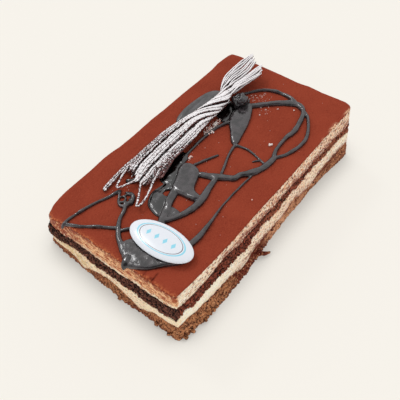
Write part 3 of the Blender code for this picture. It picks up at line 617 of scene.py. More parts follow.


# ------------------------------------------------------------ cocoa
# Cocoa powder sieved thick over the cream: a dry, even red-brown skin. It breaks in crumbs along the left
# edge, and near the middle of the back it shows a few marks of the palette knife.

# Marks of the knife, cracks from the left edge, drawn only as painted shade, and where the powder has rubbed
# thin: (x, y, z, half sizes, strength).
COCOA_MARKS = (
    (-28, 48, 44.5, 9, 1.2, 4, -0.25), (-22, 46, 44.5, 8, 1, 4, 0.25), (60, 50, 44.5, 6, 1.2, 4, -0.2),
    (-90, 54, 40, 10, 3, 6, -0.3), (-104, 58, 38, 4, 4, 6, -0.5), (-84, -50, 50, 5, 0.5, 4, -0.25),
    (-78, -49, 50, 4, 0.5, 4, -0.2),
)
CRACK_SHADES = (
    (-103.9, -38.9, 49, 1.5, 0.45, 3, 1.3), (-100, -38.5, 49, 1.2, 0.4, 3, 0.9),
    (-104.6, -37.2, 49, 0.9, 0.6, 3, 0.8), (-104.4, -31.7, 49, 1.6, 0.4, 3, 0.7),
)
WORN = (
    (75.5, -57.2, 51, 2.2, 0.8, 3, 1.2), (80.5, -57, 51, 1.8, 0.9, 3, 1.2),
    (62.8, -57.8, 51, 1.2, 0.5, 3, 0.8), (99, -56.4, 51, 3, 0.6, 3, 1),
)
SKIRT = ((0.7, 0.06), (1.25, 0.0), (1.5, -0.8))  # rings under the edge: how far down and out


def patch(loop):
    """A grid over the top: each point blends the four sides of the outline, nearer sides counting more, and
    takes off the blend of the corners that this counts twice."""
    u = np.linspace(0, 1, STEPS[0] + 1)[None, :, None]
    v = np.linspace(0, 1, STEPS[1] + 1)[:, None, None]
    ends = np.cumsum((0, *STEPS))
    front, right, back, left = (np.take(loop, np.arange(ends[k], ends[k + 1] + 1), axis=0, mode="wrap")
                                for k in range(4))
    back, left = back[::-1], left[::-1]
    sides = (1 - v) * front[None] + v * back[None] + (1 - u) * left[:, None] + u * right[:, None]
    corners = (1 - v) * ((1 - u) * front[0] + u * front[-1]) + v * ((1 - u) * back[0] + u * back[-1])
    return sides - corners


def sheet(grid, rings):
    """A closed sheet: a grid above, rings below its edge, and a point in the middle underneath."""
    deep, across = grid.shape[:2]
    index = np.arange(deep * across).reshape(deep, across)
    top = np.stack([index[:-1, :-1], index[:-1, 1:], index[1:, 1:], index[1:, :-1]], axis=-1).reshape(-1, 4)
    edge = np.concatenate([index[0, :-1], index[:-1, -1], index[-1, :0:-1], index[:0:-1, 0]])
    rows = np.array([edge, *(index.size + np.arange(rings.size // 3).reshape(len(rings), -1))])
    points = np.concatenate([grid.reshape(-1, 3), rings.reshape(-1, 3), rings[-1:].mean(axis=1)])
    under = fan(len(points) - 1, rows[-1, ::-1])
    return points, [*top.tolist(), *bands(rows[::-1]).tolist(), *under.tolist()]


left_share = ramp(TOP[:, 0], -103, -105)
chip = np.maximum(0, grain(on_top(TOP), 2.4, 51) + 0.4 * grain(on_top(TOP), 0.9, 52))
cocoa_line = TOP - OUTWARD * ((0.1 + 0.9 * left_share) * chip + 0.3 * left_share)[:, None]
cocoa_top = on_top(patch(cocoa_line))
waves = 0.12 * grain(cocoa_top, 14, 53) + 0.05 * grain(cocoa_top, 3, 54) + 0.03 * grain(cocoa_top, 1.1, 55)
cocoa_top[..., 2] += waves + bells(cocoa_top, COCOA_MARKS)
from_ends = [np.minimum(np.arange(steps + 1), steps - np.arange(steps + 1)) for steps in STEPS[:2]]
cocoa_top[..., 2] -= 0.35 * np.exp(-np.minimum(from_ends[0][None], from_ends[1][:, None]) / 1.2)
cocoa_skirt = np.stack([on_top(cocoa_line, -drop) for drop, _ in SKIRT])
skirt_push = np.array([[push] for _, push in SKIRT]) + 0.08 * grain(cocoa_skirt, 1.1, 56)
cocoa_skirt[..., :2] += OUTWARD * skirt_push[..., None]

powder = Finish("cocoa_powder", paint(136, 55, 38), roughness=0.95, shine=0.06)
powder.patchy(paint(148, 62, 43), 22, 0.35, 0.65, rough=0.5)
powder.patchy(paint(154, 69, 48), 0.8, 0.35, 0.7)
powder.patchy(paint(116, 43, 30), 1.0, 0.36, 0.27, detail=2)
powder.patchy(paint(196, 112, 72), 1.3, 0.42, 0.58, "edge")
powder.patchy(paint(232, 188, 152), 1.0, 0.42, 0.5, "worn")
# Painted shade in the cracks, which have no relief of their own.
powder.over(paint(84, 30, 20), powder.mark("crack"))
powder.bump((1.6, 3, 0.12), (0.45, 2, 0.06))

cocoa = sheet(cocoa_top, cocoa_skirt)
left_edge = cocoa_line[-STEPS[3]:][::-1]
from_left = cocoa[0][:, 0] - np.interp(cocoa[0][:, 1], left_edge[:, 1], left_edge[:, 0])
add_piece("cocoa_powder_sheet", cocoa, powder, "cocoa", "cocoa_top", edge=1.2 * np.exp(-np.abs(from_left)),
          worn=bells(cocoa[0], WORN), crack=bells(cocoa[0], CRACK_SHADES))


# ------------------------------------------------------------ chocolate drizzle
# Dark chocolate trailed from a spoon over the cocoa: lines that cross and run together, with pools where
# the spoon stopped. It set with a satin skin and round edges, so all of it is one fused piece.

LACE_SHIFT = np.array([-1.2, -1.0])
SINK = 0.9  # how deep the drizzle reaches into the cocoa
VOXEL = 0.45  # grain of the fused surface
# Lines on the top: (x, y, width).
LINES = (
    ((-60, 30, 2.2), (-70, 33, 2.2), (-80, 37, 2.2), (-90, 39.5, 2.2), (-100, 41.5, 2.2), (-104.5, 41, 2.4)),
    ((-104.5, 40.5, 2.4), (-101, 32, 2.3), (-97, 26, 2.3), (-92, 18, 2.3), (-88, 11, 2.6), (-85.5, 7, 2.8)),
    ((-66, 20, 3.4), (-72, 15.5, 3), (-80, 12.5, 3), (-86, 8, 3.4), (-92, 2, 4.2), (-96, -5, 5.4),
     (-99, -12, 6.5)),
    ((-87, 5.5, 2.5), (-82, 1, 2.5), (-77, -6, 2.5)),
    ((-76, -39.4, 4.4), (-69, -40, 4.6), (-60, -40.5, 4.4), (-50, -39.5, 3.2), (-40, -38, 2),
     (-28, -36.4, 1.5), (-12, -36, 1.5), (4, -36.4, 1.5)),
    ((-17, -5, 5), (-15, -11, 5.2), (-12, -17, 6.4), (-8, -24, 5.4), (-5.5, -28, 5.6), (-1, -29.4, 4.8),
     (3, -33, 5), (10, -37, 5.4), (18, -39, 5), (28, -39.2, 4.4)),
    ((26, -39, 4), (33, -36, 3.1), (42, -34.7, 3.1), (50, -34.5, 4), (58, -35.5, 4.4), (68, -33.5, 4),
     (76, -31, 3.6), (81, -28, 4), (83.5, -24, 4.6)),
    ((27, -39.5, 3), (33, -43.5, 2.6), (40, -46, 3), (48, -47.3, 3), (56, -46.8, 3), (64, -43.5, 2.6),
     (72, -38.5, 2.5), (77, -34.5, 2.5), (80, -29.5, 3)),
    ((60, 9, 5), (66, 3, 5), (72, -3, 4.6), (78, -10, 5), (82, -16, 6), (83.5, -22, 5.4), (81, -28, 4.2)),
    ((66.5, 24, 2.2), (69, 21, 2.3), (74, 17.5, 2.3), (80, 13, 2.3), (84, 8, 2.5), (86.5, 2, 2.7),
     (87.5, -5, 2.8), (87, -12, 3.2), (84, -20, 4.4)),
    ((22, -8, 2.6), (10, -11, 2.1), (0, -15, 2.1), (-8, -18, 2.6)),
    ((21, -8.5, 2.4), (22.3, -15, 1.9), (22.2, -21, 1.7), (20.5, -28, 1.6), (19, -33, 1.6), (17.5, -38, 2)),
    ((14.5, -28.6, 1.4), (17.5, -31, 1.4), (19.4, -33.4, 1.6)),
    ((41, 10.5, 2.8), (36, 11, 2.6), (28, 14, 2.4), (20, 15, 2.4), (6, 15.2, 2.4), (-8, 14.5, 2.4),
     (-16, 12, 2.6)),
    ((-13, 3.6, 2.4), (-9, 2, 2), (-2, -1, 1.8), (6.5, -5, 1.6)),
    ((-34, -0.3, 6.4), (-41, -2.3, 6.6), (-48, -4.5, 6.2), (-54.5, -7.7, 6), (-61, -10.3, 6.2),
     (-66, -12.5, 5.8), (-72, -14, 5)),
    ((-65, -12.5, 4.4), (-61, -14.8, 4.6), (-55, -18.3, 4.8), (-47, -21.1, 5.4), (-39, -22.1, 5.8),
     (-32, -21.3, 5.6), (-24.5, -19.5, 5), (-17.5, -18.2, 4.6), (-10.5, -17, 4.4)),
    ((-61, 30, 2), (-65, 27.4, 1.8), (-69, 24.4, 1.8), (-71, 20.4, 2), (-69, 17, 3), (-66, 18, 3.4)),
    ((-66, 26.6, 1.6), (-63.4, 24.2, 1.7), (-64.6, 21.4, 1.8), (-67.6, 21.4, 1.7), (-68.4, 24.2, 1.6),
     (-66, 26.4, 1.6)),
    ((-63.4, 24.4, 1.7), (-60.4, 23.6, 1.7), (-59.4, 20.6, 2), (-61.4, 18.2, 2.2), (-64, 19.6, 1.8)),
    ((-60, 26.4, 1.6), (-58.6, 22.6, 2.2), (-60.2, 18.4, 3.2), (-64.2, 16.4, 4.2), (-67, 17.6, 4.2)),
    ((-52, 33.6, 2.6), (-49.6, 29.4, 3.6), (-46, 28, 3)),
)
# Lines that run over the left edge: (x, y, width, height above the top).
DRIPS = (
    ((-99, -13.5, 5, 1.4), (-104, -15.4, 5, 1.3), (-107.3, -17, 3.6, 0), (-107.8, -17.6, 3, -2)),
    ((-101, 41.4, 2.4, 1), (-105, 41, 2.4, 1), (-107.1, 40.6, 2.4, -0.2), (-107.8, 40.2, 2.2, -2.2)),
)
# Pools: (height, outline). The third has a hole, which its outline runs into and round along a closed slit.
POOLS = (
    (2.7, ((-93, -2), (-97.5, -5.5), (-102, -10), (-105.6, -14), (-106.6, -17), (-105, -21), (-102.5, -27),
           (-99, -32), (-95, -35), (-90, -39.5), (-85, -44.5), (-80, -48), (-75, -46), (-73, -36), (-75, -22),
           (-80, -12), (-88, -5))),
    (3.2, ((-39, 2), (-34.5, 3.5), (-28.5, 6), (-23, 9), (-19, 10.3), (-15.4, 10.5), (-12.6, 6.6),
           (-12.6, 0.5), (-14.8, -4.4), (-20, -7.5), (-26, -9.5), (-30.5, -12), (-32, -16), (-32.5, -20.5),
           (-36, -21), (-39, -18.5), (-39.5, -13.5), (-39.5, -9.5), (-40.5, -5))),
    (1.6, ((-35, 5), (-35.5, 9.5), (-40, 9.5), (-46, 11), (-51, 11), (-56, 8.5), (-59.5, 6), (-61.5, 2),
           (-63, -3), (-63.5, -8), (-57, -7), (-50, -3.5), (-45.5, -2.5), (-47.5, 0.5), (-46.5, 3.5),
           (-43.5, 5), (-41, 3), (-38.5, -1))),
    (2.7, ((49, 14.5), (38, 11), (30, 3), (22, -3.5), (19.5, -8), (23.5, -9.8), (32, -7), (42, -4.5),
           (52, -0.5), (60, 4), (65, 9), (60, 14))),
    (1.1, ((-60, -12), (-54, -8), (-50.5, -10), (-51, -16.5), (-55.5, -18), (-59, -15))),
    (1.8, ((-7, 13), (-9.5, 10.5), (-15, 10.5), (-21.5, 8), (-27.5, 6), (-34, 3.5), (-38.5, 3), (-38, 8),
           (-38, 13), (-34, 18), (-24, 19), (-14, 20), (-5, 19))),
    (1.4, ((60, 19), (58, 16), (50, 12), (41, 9), (35, 14), (38, 23), (48, 25), (58, 24), (62, 22))),
)
# Painted shade: where the chocolate is painted black as the strings' shadow and as a dark reflection of their
# undersides, and along a few edges: (x, y, z, half sizes, strength).
PAINTED_SHADE_SPOTS = (
    (-51, 31, 44, 4, 4, 4, 1), (-65.6, 22.6, 45, 1.8, 1.6, 3, 0.8), (-107, -14, 50, 3, 3, 4, 0.8),
    (-96, -37, 50, 6, 2, 3, 0.5),
)
# The same painted shade where only the low pools are black, and not what stands over them.
LOW_PAINTED_SHADE_SPOTS = (
    (-27, 14, 47, 14, 6, 50, 1.7), (-36, 11, 47, 5, 4, 50, 1.5), (-37.5, 4, 47, 4, 3, 50, 1.4),
    (-16, 15, 47, 9, 5, 50, 1.6), (49, 18, 47, 11, 7, 50, 1.5), (-50, -1, 47, 5, 1.7, 50, 1.2),
    (-56, -4.6, 47, 4, 1.6, 50, 1.2), (-55, 6, 47, 3.4, 1.5, 50, 1.2), (-50, 4, 47, 11, 9, 50, 0.35),
)
# Where the low pool sags towards the bundle, and where its skin is painted paler as a sheen.
SAG = ((-26, 13, 47, 14, 8, 50, 1), (-37, 8, 47, 5, 7, 50, 1.2))
SHEEN_PATCHES = ((-46, 7.6, 47, 4, 2.4, 50, 0.9), (-43.5, 12, 47, 3, 2, 50, 0.7), (-51, 3.6, 47, 3, 1.6, 50, 0.5))


def smooth_path(points, steps):
    """A Catmull-Rom curve through the points, with `steps` points on each stretch."""
    points = np.array(points, float)
    ends = np.concatenate([[2 * points[0] - points[1]], points, [2 * points[-1] - points[-2]]])
    a, b, c, d = (ends[k:len(ends) - 3 + k, None] for k in range(4))
    t = (np.arange(steps) / steps)[None, :, None]
    bend = 0.5 * (2 * b + (c - a) * t + (2 * a - 5 * b + 4 * c - d) * t**2 + (3 * b - a - 3 * c + d) * t**3)
    return np.concatenate([bend.reshape(-1, points.shape[1]), points[-1:]])


def round_ends(line, reach, least):
    """Shares of the full width along a line whose ends are half circles, `reach` long."""
    run = lengths(line)
    tip = np.clip(np.minimum(run, run[-1] - run) / reach, least, 1)
    return np.sqrt(1 - (1 - tip) ** 2)


def unit(ways):
    """Directions of length 1."""
    return ways / np.linalg.norm(ways, axis=1, keepdims=True)


def trail(path):
    """A drizzle line: a squarish oval profile along the path, sunk into the cocoa, with round ends. Its
    height follows its width, and a path of four numbers gives its own height above the top."""
    curve = smooth_path(path, 12)
    run = lengths(curve[:, :2])
    wide = curve[:, 2] * (1 + 0.1 * grain(np.column_stack([curve[:, :2], 0 * run]), 3.5, 61))
    wide = (wide * round_ends(curve[:, :2], 0.5 * wide, 0.05))[:, None]
    along = unit(np.gradient(curve[:, :2], axis=0))
    across = np.stack([along[:, 1], -along[:, 0]], axis=1)[:, None]
    turn = np.linspace(0, 2 * np.pi, 16, endpoint=False)
    sideways, upward = (np.sign(part) * np.abs(part) ** 0.75 for part in (np.cos(turn), np.sin(turn)))
    flat = curve[:, None, :2] + LACE_SHIFT + across * (0.5 * wide * sideways)[..., None]
    if curve.shape[1] == 4:
        rise = curve[:, 3:] + 0.5 * wide * upward
    else:
        rise = np.where(upward > 0, np.minimum(2.6, 0.5 + 0.62 * wide) * upward, SINK * upward)
    return shell(on_top(flat, rise)[::-1])


def closed_line(points, steps):
    """A smoothed closed line through the points, anticlockwise."""
    x, y = np.array(points, float).T
    if np.sum(x * np.roll(y, -1) - np.roll(x, -1) * y) < 0:
        points = points[::-1]
    return rounded(resample([*points, points[0]], steps), 3)


def pool(height, line):
    """A pool: its smoothed outline below the cocoa, then a rounded rim that rises to a flat middle."""
    line = closed_line(line, 160) + LACE_SHIFT
    profile = ((0.0, -SINK), (0.0, 0.35 * height), (0.35, 0.68 * height), (1.0, 0.88 * height), (2.4, height))
    rings = np.stack([on_top(line - inset * outward_from(line), level) for inset, level in profile])
    index = np.arange(rings.size // 3).reshape(rings.shape[:2])
    return rings.reshape(-1, 3), [*bands(index).tolist(), index[0, ::-1].tolist(), index[-1].tolist()]


def mesh_values(items, name, width, kind):
    """A named number, or a row of them, that each of a mesh's items holds."""
    values = np.empty(len(items) * width, kind)
    items.foreach_get(name, values)
    return values.reshape(-1, width)


def fused(parts, voxel, passes):
    """One smooth surface round overlapping closed ones: a voxel remesh, then passes that move each point
    half-way to the mean of its neighbours and back out by a little more, which smooths without
    shrinking."""
    points, faces = joined(parts)
    mesh = bpy.data.meshes.new("raw")
    mesh.from_pydata((points * MM).tolist(), [], faces)
    raw = bpy.data.objects.new("raw", mesh)
    bpy.context.scene.collection.objects.link(raw)
    remesh = raw.modifiers.new("remesh", "REMESH")
    remesh.mode = "VOXEL"
    remesh.voxel_size = voxel * MM
    made = bpy.data.meshes.new_from_object(raw.evaluated_get(bpy.context.evaluated_depsgraph_get()))
    bpy.data.objects.remove(raw)
    points = mesh_values(made.vertices, "co", 3, np.float64) / MM
    edges = mesh_values(made.edges, "vertices", 2, np.int32)
    here, there = np.concatenate([edges, edges[:, ::-1]]).T
    count = np.bincount(here, minlength=len(points))
    for amount in (0.5, -0.52) * passes:
        mean = [np.bincount(here, column[there], len(points)) / count for column in points.T]
        points = points + amount * (np.stack(mean, axis=1) - points)
    return points, mesh_values(made.loops, "vertex_index", 1, np.int32).reshape(-1, 4).tolist()


def chocolate_finish(name, roughness):
    """Dark chocolate: painted paler where a mark holds a painted sheen, painted black and a little glossier
    where a mark holds painted shade, and smoother in patches.
    """
    made = Finish(name, paint(22, 17, 19), roughness, shine=0.85)
    made.patchy(paint(54, 47, 50), 4, 0.35, 0.65, rough=0.5)
    made.over(paint(108, 106, 110), made.mark("bloom"))
    made.over(paint(4, 2, 2), made.mark("wet"))
    dull = made.ease(made.noise(3, 2), 0.35, 0.65, roughness - 0.1, roughness + 0.06)
    made.shade("Roughness", made.math("SUBTRACT", dull, made.ease(made.mark("wet"), 0, 1, 0, 0.1)))
    made.bump((3.0, 2, 0.2))
    return made


drizzle, faces = fused([*map(trail, (*LINES, *DRIPS)), *(pool(*place) for place in POOLS)], VOXEL, passes=9)
x, y = drizzle.T[:2]
stands = drizzle[:, 2] - top_z(x, y)  # height above the top
low = ramp(stands, 2.4, 1.8)
drizzle[:, 2] += np.clip(stands, 0, 1) * (0.5 * grain(drizzle, 6.5, 62) + 0.12 * grain(drizzle, 3.0, 63))
sag = 0.12 * np.minimum(2 * bells(drizzle, SAG), 1) * low * np.clip(stands, 0, 1)
sag = sag * np.clip(y - np.interp(x, (-42, -30), (0.5, 6.5)), 0, 9)
drizzle[:, 2] -= np.minimum(sag, np.clip(stands - 0.5, 0, 3))
satin = chocolate_finish("satin_chocolate", roughness=0.24)
add_piece("chocolate_drizzle", (drizzle, faces), satin, "chocolate", "cocoa_top",
          wet=bells(drizzle, PAINTED_SHADE_SPOTS) + low * bells(drizzle, LOW_PAINTED_SHADE_SPOTS), bloom=low * bells(drizzle, SHEEN_PATCHES))


# ------------------------------------------------------------ chocolate petal
# A thin petal of tempered chocolate, laid flat behind the bundle. It is smooth, with a rounded edge, one
# soft hollow along it and a painted highlight along the hollow.

PETAL = (
    (12.5, 42), (17, 37), (26, 32.6), (38, 30.4), (50, 30.4), (58, 32), (62, 36), (60.5, 40.3), (55.5, 43.6),
    (48.5, 45.3), (38.5, 46.6), (28.5, 46.9), (18.5, 45.3),
)
PETAL_HIGH = 3.4
PETAL_HOLLOW = (36, 39.5, 48, 13, 2.2, 20, 0.9)  # x, y, z, half sizes, depth
# A painted highlight along the hollow.
PETAL_HIGHLIGHT = (36, 40, 47, 8, 0.9, 50, 0.6)  # x, y, z, half sizes, strength

petal_line = closed_line(PETAL, 180)
middle = petal_line.mean(axis=0)
shrink = np.linspace(1.0, 0.04, 26)
swell = 0.6 + (PETAL_HIGH - 0.6) * (1 - shrink**3.2) ** 0.6
flat = middle + (petal_line - middle) * np.concatenate([[0.92, 0.97], shrink])[:, None, None]
petal = on_top(flat, np.concatenate([[-0.4, 0.2], swell])[:, None])
petal[..., 2] -= bells(petal, (PETAL_HOLLOW,))
smooth = chocolate_finish("petal_chocolate", roughness=0.38)
add_piece("chocolate_petal_smooth", shell(petal), smooth, "chocolate", "chocolate_petal",
          bloom=bells(petal, (PETAL_HIGHLIGHT,)) - 0.12)


# ------------------------------------------------------------ chocolate lump
# A crumpled knot of chocolate beside the bundle: thick curls that were pressed together while they were
# soft, with painted shade darkening the creases between them.

LUMP_AT = (58.7, 12.9)
# Its curls: (x, y and height from there, half length, half width, half height, direction in degrees).
LUMP_BLOBS = (
    (0, 0, 4, 5.4, 4.4, 4.2, 20), (1.7, 1.6, 6.8, 3.4, 2.2, 2.4, 40), (-2.6, -0.8, 6.4, 3.4, 2, 2.6, -30),
    (0.6, -2.6, 6.2, 3.8, 1.7, 2.2, 10), (2.8, -0.8, 4.8, 2.4, 2, 2.8, 70),
    (-3.4, 2.2, 4.2, 2.6, 2.2, 3, 100), (0, 2.8, 6.4, 3, 1.5, 1.8, -15), (-1, 0.2, 8, 2.4, 1.3, 1.3, 60),
    (2.2, -2.2, 3, 3, 2, 2.4, -50), (-3.6, 4.4, 3.4, 3.4, 2.8, 3.6, 40), (-5.4, 1.8, 3, 3, 2, 3, 80),
    (0.6, 5.6, 4, 3.6, 2, 3.2, 20), (-2.4, 6.6, 3.4, 3.2, 2.2, 3.4, 30),
)


def blob(x, y, z, long, wide, tall, degrees):
    """A ball stretched on three axes and turned about the vertical."""
    made = turned(ball(24, 14, 1.45) * (long, wide, tall), degrees)
    return shell(made + (LUMP_AT[0] + x, LUMP_AT[1] + y, top_z(*LUMP_AT) + z))


lump, faces = fused([blob(*place) for place in LUMP_BLOBS], voxel=0.35, passes=2)
lump += 0.35 * grain(lump, 1.8, 71)[:, None] * (0.5, 0.5, 0.8)
# Painted shade in the creases.
creased = 1 - lumps(lump, 3.0, 72)
crumpled = chocolate_finish("knot_chocolate", roughness=0.24)
add_piece("chocolate_knot", (lump, faces), crumpled, "chocolate", "chocolate_lump",
          wet=np.clip(1.4 * creased - 0.2, 0, 1))


# ------------------------------------------------------------ string skein
# A skein of thin chocolate strings: each is a closed loop that turns back at both ends. The bundle is
# spread flat at the near end, twisted in the middle, and opens into two lobes at the far one. Sugar and
# silver dust lie on top, and the dust's colour also carries painted light and shade.

STRING_R = 0.6
RIBBONS = 12  # ribbons of four strings
TWIST = (14.0, 64.0)  # where along x the twist starts and ends
TWIST_TURN = 3.9  # how far it turns, in radians
SPLIT = -0.12  # where the two lobes part, from -1 to 1 across the bundle
# Along the bundle: (x, y of its middle, height above the top, half width, half thickness).
CORE = (
    (-60, 24.5, 3, 6.5, 1.1), (-50, 25, 3.3, 9, 1.3), (-40, 27.4, 3.8, 11.4, 1.9),
    (-20, 28.6, 4.4, 11.8, 2.3), (0, 28.2, 5, 11.2, 2.7), (15, 26.8, 6.2, 9, 3.2), (26, 25.6, 7, 7.2, 4),
    (40, 24.2, 7.6, 6, 4.3), (51, 24.2, 8, 5.2, 4), (58, 26, 8.3, 3.8, 3), (64, 27.4, 8.6, 6.4, 2.6),
    (75, 27.6, 9, 9.8, 1.8), (85, 27.2, 9.4, 11.4, 1.3), (104, 26.8, 10, 10.4, 0.9),
)
# The two lobes at the far end: (x, far edge, split above, split below, near edge), all as y.
LOBES = (
    (50, 29.6, 27.4, 27, 20.4), (56, 32.2, 27.4, 27, 21.6), (60, 34.4, 27.3, 26.9, 21.2),
    (64, 36.4, 27.2, 26.8, 20.4), (70, 38, 26.9, 26.4, 19.4), (76, 38.8, 26.4, 25.6, 17.8),
    (86, 38.8, 25.6, 24.4, 15.6), (96, 37.8, 28, 23.2, 16), (104, 36, 31.5, 22, 18),
)
# Where a string turns at the far end: (place across the bundle, x).
FAR_TURNS = (
    (-1, 84.5), (-0.8, 90), (-0.5, 94.5), (-0.13, 97), (-0.1, 96.5), (0.3, 99.5), (0.7, 102.5), (1, 100),
)
# Wider gaps in the fan: (x, place across it, half length).
SLITS = ((77, 0.35, 5), (72, -0.02, 5), (84, 0.65, 6), (86, -0.6, 6))
# Loose loops at the near end: (x, y, height above the top) along each, and how dusted each is.
LOOPS = (
    ((-30, 38, 4.2), (-42, 38.4, 3.6), (-52, 36, 3.8), (-57.4, 34, 3.8), (-61.6, 32.2, 3.9), (-62.8, 31.2, 4),
     (-62.4, 29.8, 4), (-57, 27.2, 4), (-49, 24.6, 3.8), (-40, 24, 4)),
    ((-40, 21.8, 4.4), (-47, 20, 4.2), (-51.2, 19.3, 4.2), (-58, 14.4, 4.2), (-64.6, 10, 4.2),
     (-67.4, 8.3, 4.2), (-66.4, 6.6, 4.2), (-60, 7.2, 4.2), (-52.6, 9.9, 4.3), (-44.6, 13.3, 4.4),
     (-32, 17.6, 4.8)),
    ((-26, 40.2, 3.2), (-42, 41.6, 2.4), (-56, 40.9, 2), (-66, 39.8, 1.7), (-68.6, 39, 1.6),
     (-68.2, 37.9, 1.6), (-64, 38.4, 1.7), (-52, 39.4, 2.2), (-38, 39.6, 3), (-20, 38.4, 4)),
    ((-14, 19.4, 5), (-26, 17.2, 4.4), (-36, 15.2, 3.9), (-42.4, 14.4, 3.6), (-44.6, 15.2, 3.6),
     (-44, 16.6, 3.7), (-38, 17.4, 4.1), (-26, 19, 4.8)),
    ((-10, 18.6, 4.8), (-20, 16.4, 4.2), (-30, 13.6, 3.6), (-36.4, 12.2, 3.4), (-38.4, 12.8, 3.4),
     (-37.6, 14, 3.5), (-30, 15.6, 4), (-18, 18.4, 4.8)),
    ((-4, 19.4, 5), (-16, 17.2, 4.4), (-26, 14.6, 3.6), (-31.4, 13, 3.4), (-33, 13.4, 3.4),
     (-32.2, 14.4, 3.5), (-24, 16.6, 4.2), (-12, 19.2, 5)),
)
LOOP_DUST = (0.38, 0.38, 0.38, 0.02, -0.22, -0.12)


def row(table, x, column):
    """A table's column at x, with its corners rounded over about 6 mm."""
    fine = np.arange(-90.0, 131.0)
    known = np.array(table, float)
    bell = np.exp(-0.5 * (np.arange(-9, 10) / 2.4) ** 2)
    values = np.interp(fine, known[:, 0], known[:, column])
    return np.interp(x, fine, np.convolve(np.pad(values, 9, "edge"), bell / bell.sum(), "valid"))


def string(path, radius, seed):
    """A round string along (x, y, z): rings of nine points at right angles to its path, with a slightly
    uneven radius, and ends that close to a point."""
    along = unit(np.gradient(path, axis=0))
    side = unit(np.cross(along, (0.0, 0.0, 1.0)))
    up = np.cross(side, along)
    thick = radius * round_ends(path, STRING_R, 0.1) * (1 + 0.1 * grain(path, 1.5, seed))
    turn = np.linspace(0, 2 * np.pi, 9, endpoint=False)[None, :, None]
    spokes = np.cos(turn) * side[:, None] + np.sin(turn) * up[:, None]
    return shell(path[:, None] + thick[:, None, None] * spokes)


def luck(number):
    """A fixed number from 0 to 1 for each count, from a sine hash."""
    value = np.sin(12.9898 * (number + 1)) * 43758.5453
    return value - np.floor(value)


def waver(x, lane, size, seed):
    """Smooth noise along x, different for each lane."""
    return grain(np.column_stack([x, 0 * x + lane, 0 * x]), size, seed)


def ribbon_angle(ribbon):
    """Where a ribbon starts round the bundle's section: at even angles, a little closer in pairs."""
    even = 2 * np.pi * (ribbon + 0.5) / RIBBONS
    return even + 0.15 * np.sin(2 * even) + (0.06 if ribbon % 2 == 0 else -0.06)


def leg(ribbon, place, x):
    """A string of a ribbon: the ribbons lie round the bundle's oval section, which turns in the twist, and
    each has four strings side by side, the outer ones lower. Near the end they part in twos. Past the twist
    they lie in groups of four across the lobes: two on top, and two lower in the gap beside them. Gives the
    string's points, how far each faces up, and its place across the bundle."""
    angle = ribbon_angle(ribbon) + TWIST_TURN * eased(ramp(x, *TWIST))
    wide, thick = row(CORE, x, 3), row(CORE, x, 4)
    way = np.stack([-wide * np.sin(angle), thick * np.cos(angle)])
    way /= np.linalg.norm(way, axis=0)
    step = np.clip((2 * np.pi * np.sqrt(0.5 * (wide**2 + thick**2)) / RIBBONS - 1.6) / 3, 0.42, 0.95)
    rank = SLOTS[ribbon, place]
    drift = 0.5 * waver(x, 9 * ribbon, 16, 5) + 0.3 * waver(x, 9 * ribbon + 2 * place, 6, 6)
    parted = ramp(x, 30, 10)
    lower = 0.1 if (ribbon % 2 == 0) == (place > 0) else 0.34
    sunk = (lower * (1 - parted) + 0.08 * parted) * place * place
    raised = 0.7 * parted * (luck(2 * ribbon + (place > 0) + 140) - 0.5)
    place = place + parted * (0.2 * np.sign(place) - 0.16 * (place - np.sign(place)))
    aside = step * place + drift
    sideways = (wide * np.cos(angle) + aside * way[0] - sunk * way[1]) / wide
    height = thick * np.sin(angle) + aside * way[1] - sunk * np.abs(way[0]) + raised
    group, member = divmod(rank, 4)
    on_top_row = member % 2 == 0
    slot = (group + 0.5 + (-0.05, 0.44, 0.06, 0.56)[member] + 0.3 * (luck(group + 170) - 0.5)) / 6 - 1
    level = (0.6, -0.6, 0.95, -0.9)[member] * thick + 0.25 * waver(x, 17 * rank, 5, 9)
    opened = eased(ramp(x, 52, 68))
    sideways = sideways + (slot - sideways) * opened
    height = height + (level - height) * opened
    plain = row(CORE, x, 1) + wide * sideways
    far_edge, far_split, near_split, near_edge = (row(LOBES, x, column) for column in range(1, 5))
    lobed = np.where(sideways > SPLIT, far_split + (sideways - SPLIT) / (1 - SPLIT) * (far_edge - far_split),
                     near_edge + (sideways + 1) / (SPLIT + 1) * (near_split - near_edge))
    for at, where, reach in SLITS if on_top_row else ():
        gap = 1.2 * np.tanh(9 * (slot - where))
        lobed = lobed + gap * np.exp(-((x - at) / reach) ** 2 - 4 * abs(slot - where))
    lobed = lobed + 0.3 * opened * waver(x, 17 * (group if on_top_row else rank), 7, 4)
    y = plain + (lobed - plain) * ramp(x, 48, 58)
    z = top_z(x, y) + np.maximum(row(CORE, x, 2) + height, STRING_R + 0.2)
    bare = -1.5 if not on_top_row and group else 0.85
    return np.column_stack([x, y, z]), np.sin(angle) + (bare - np.sin(angle)) * opened, sideways


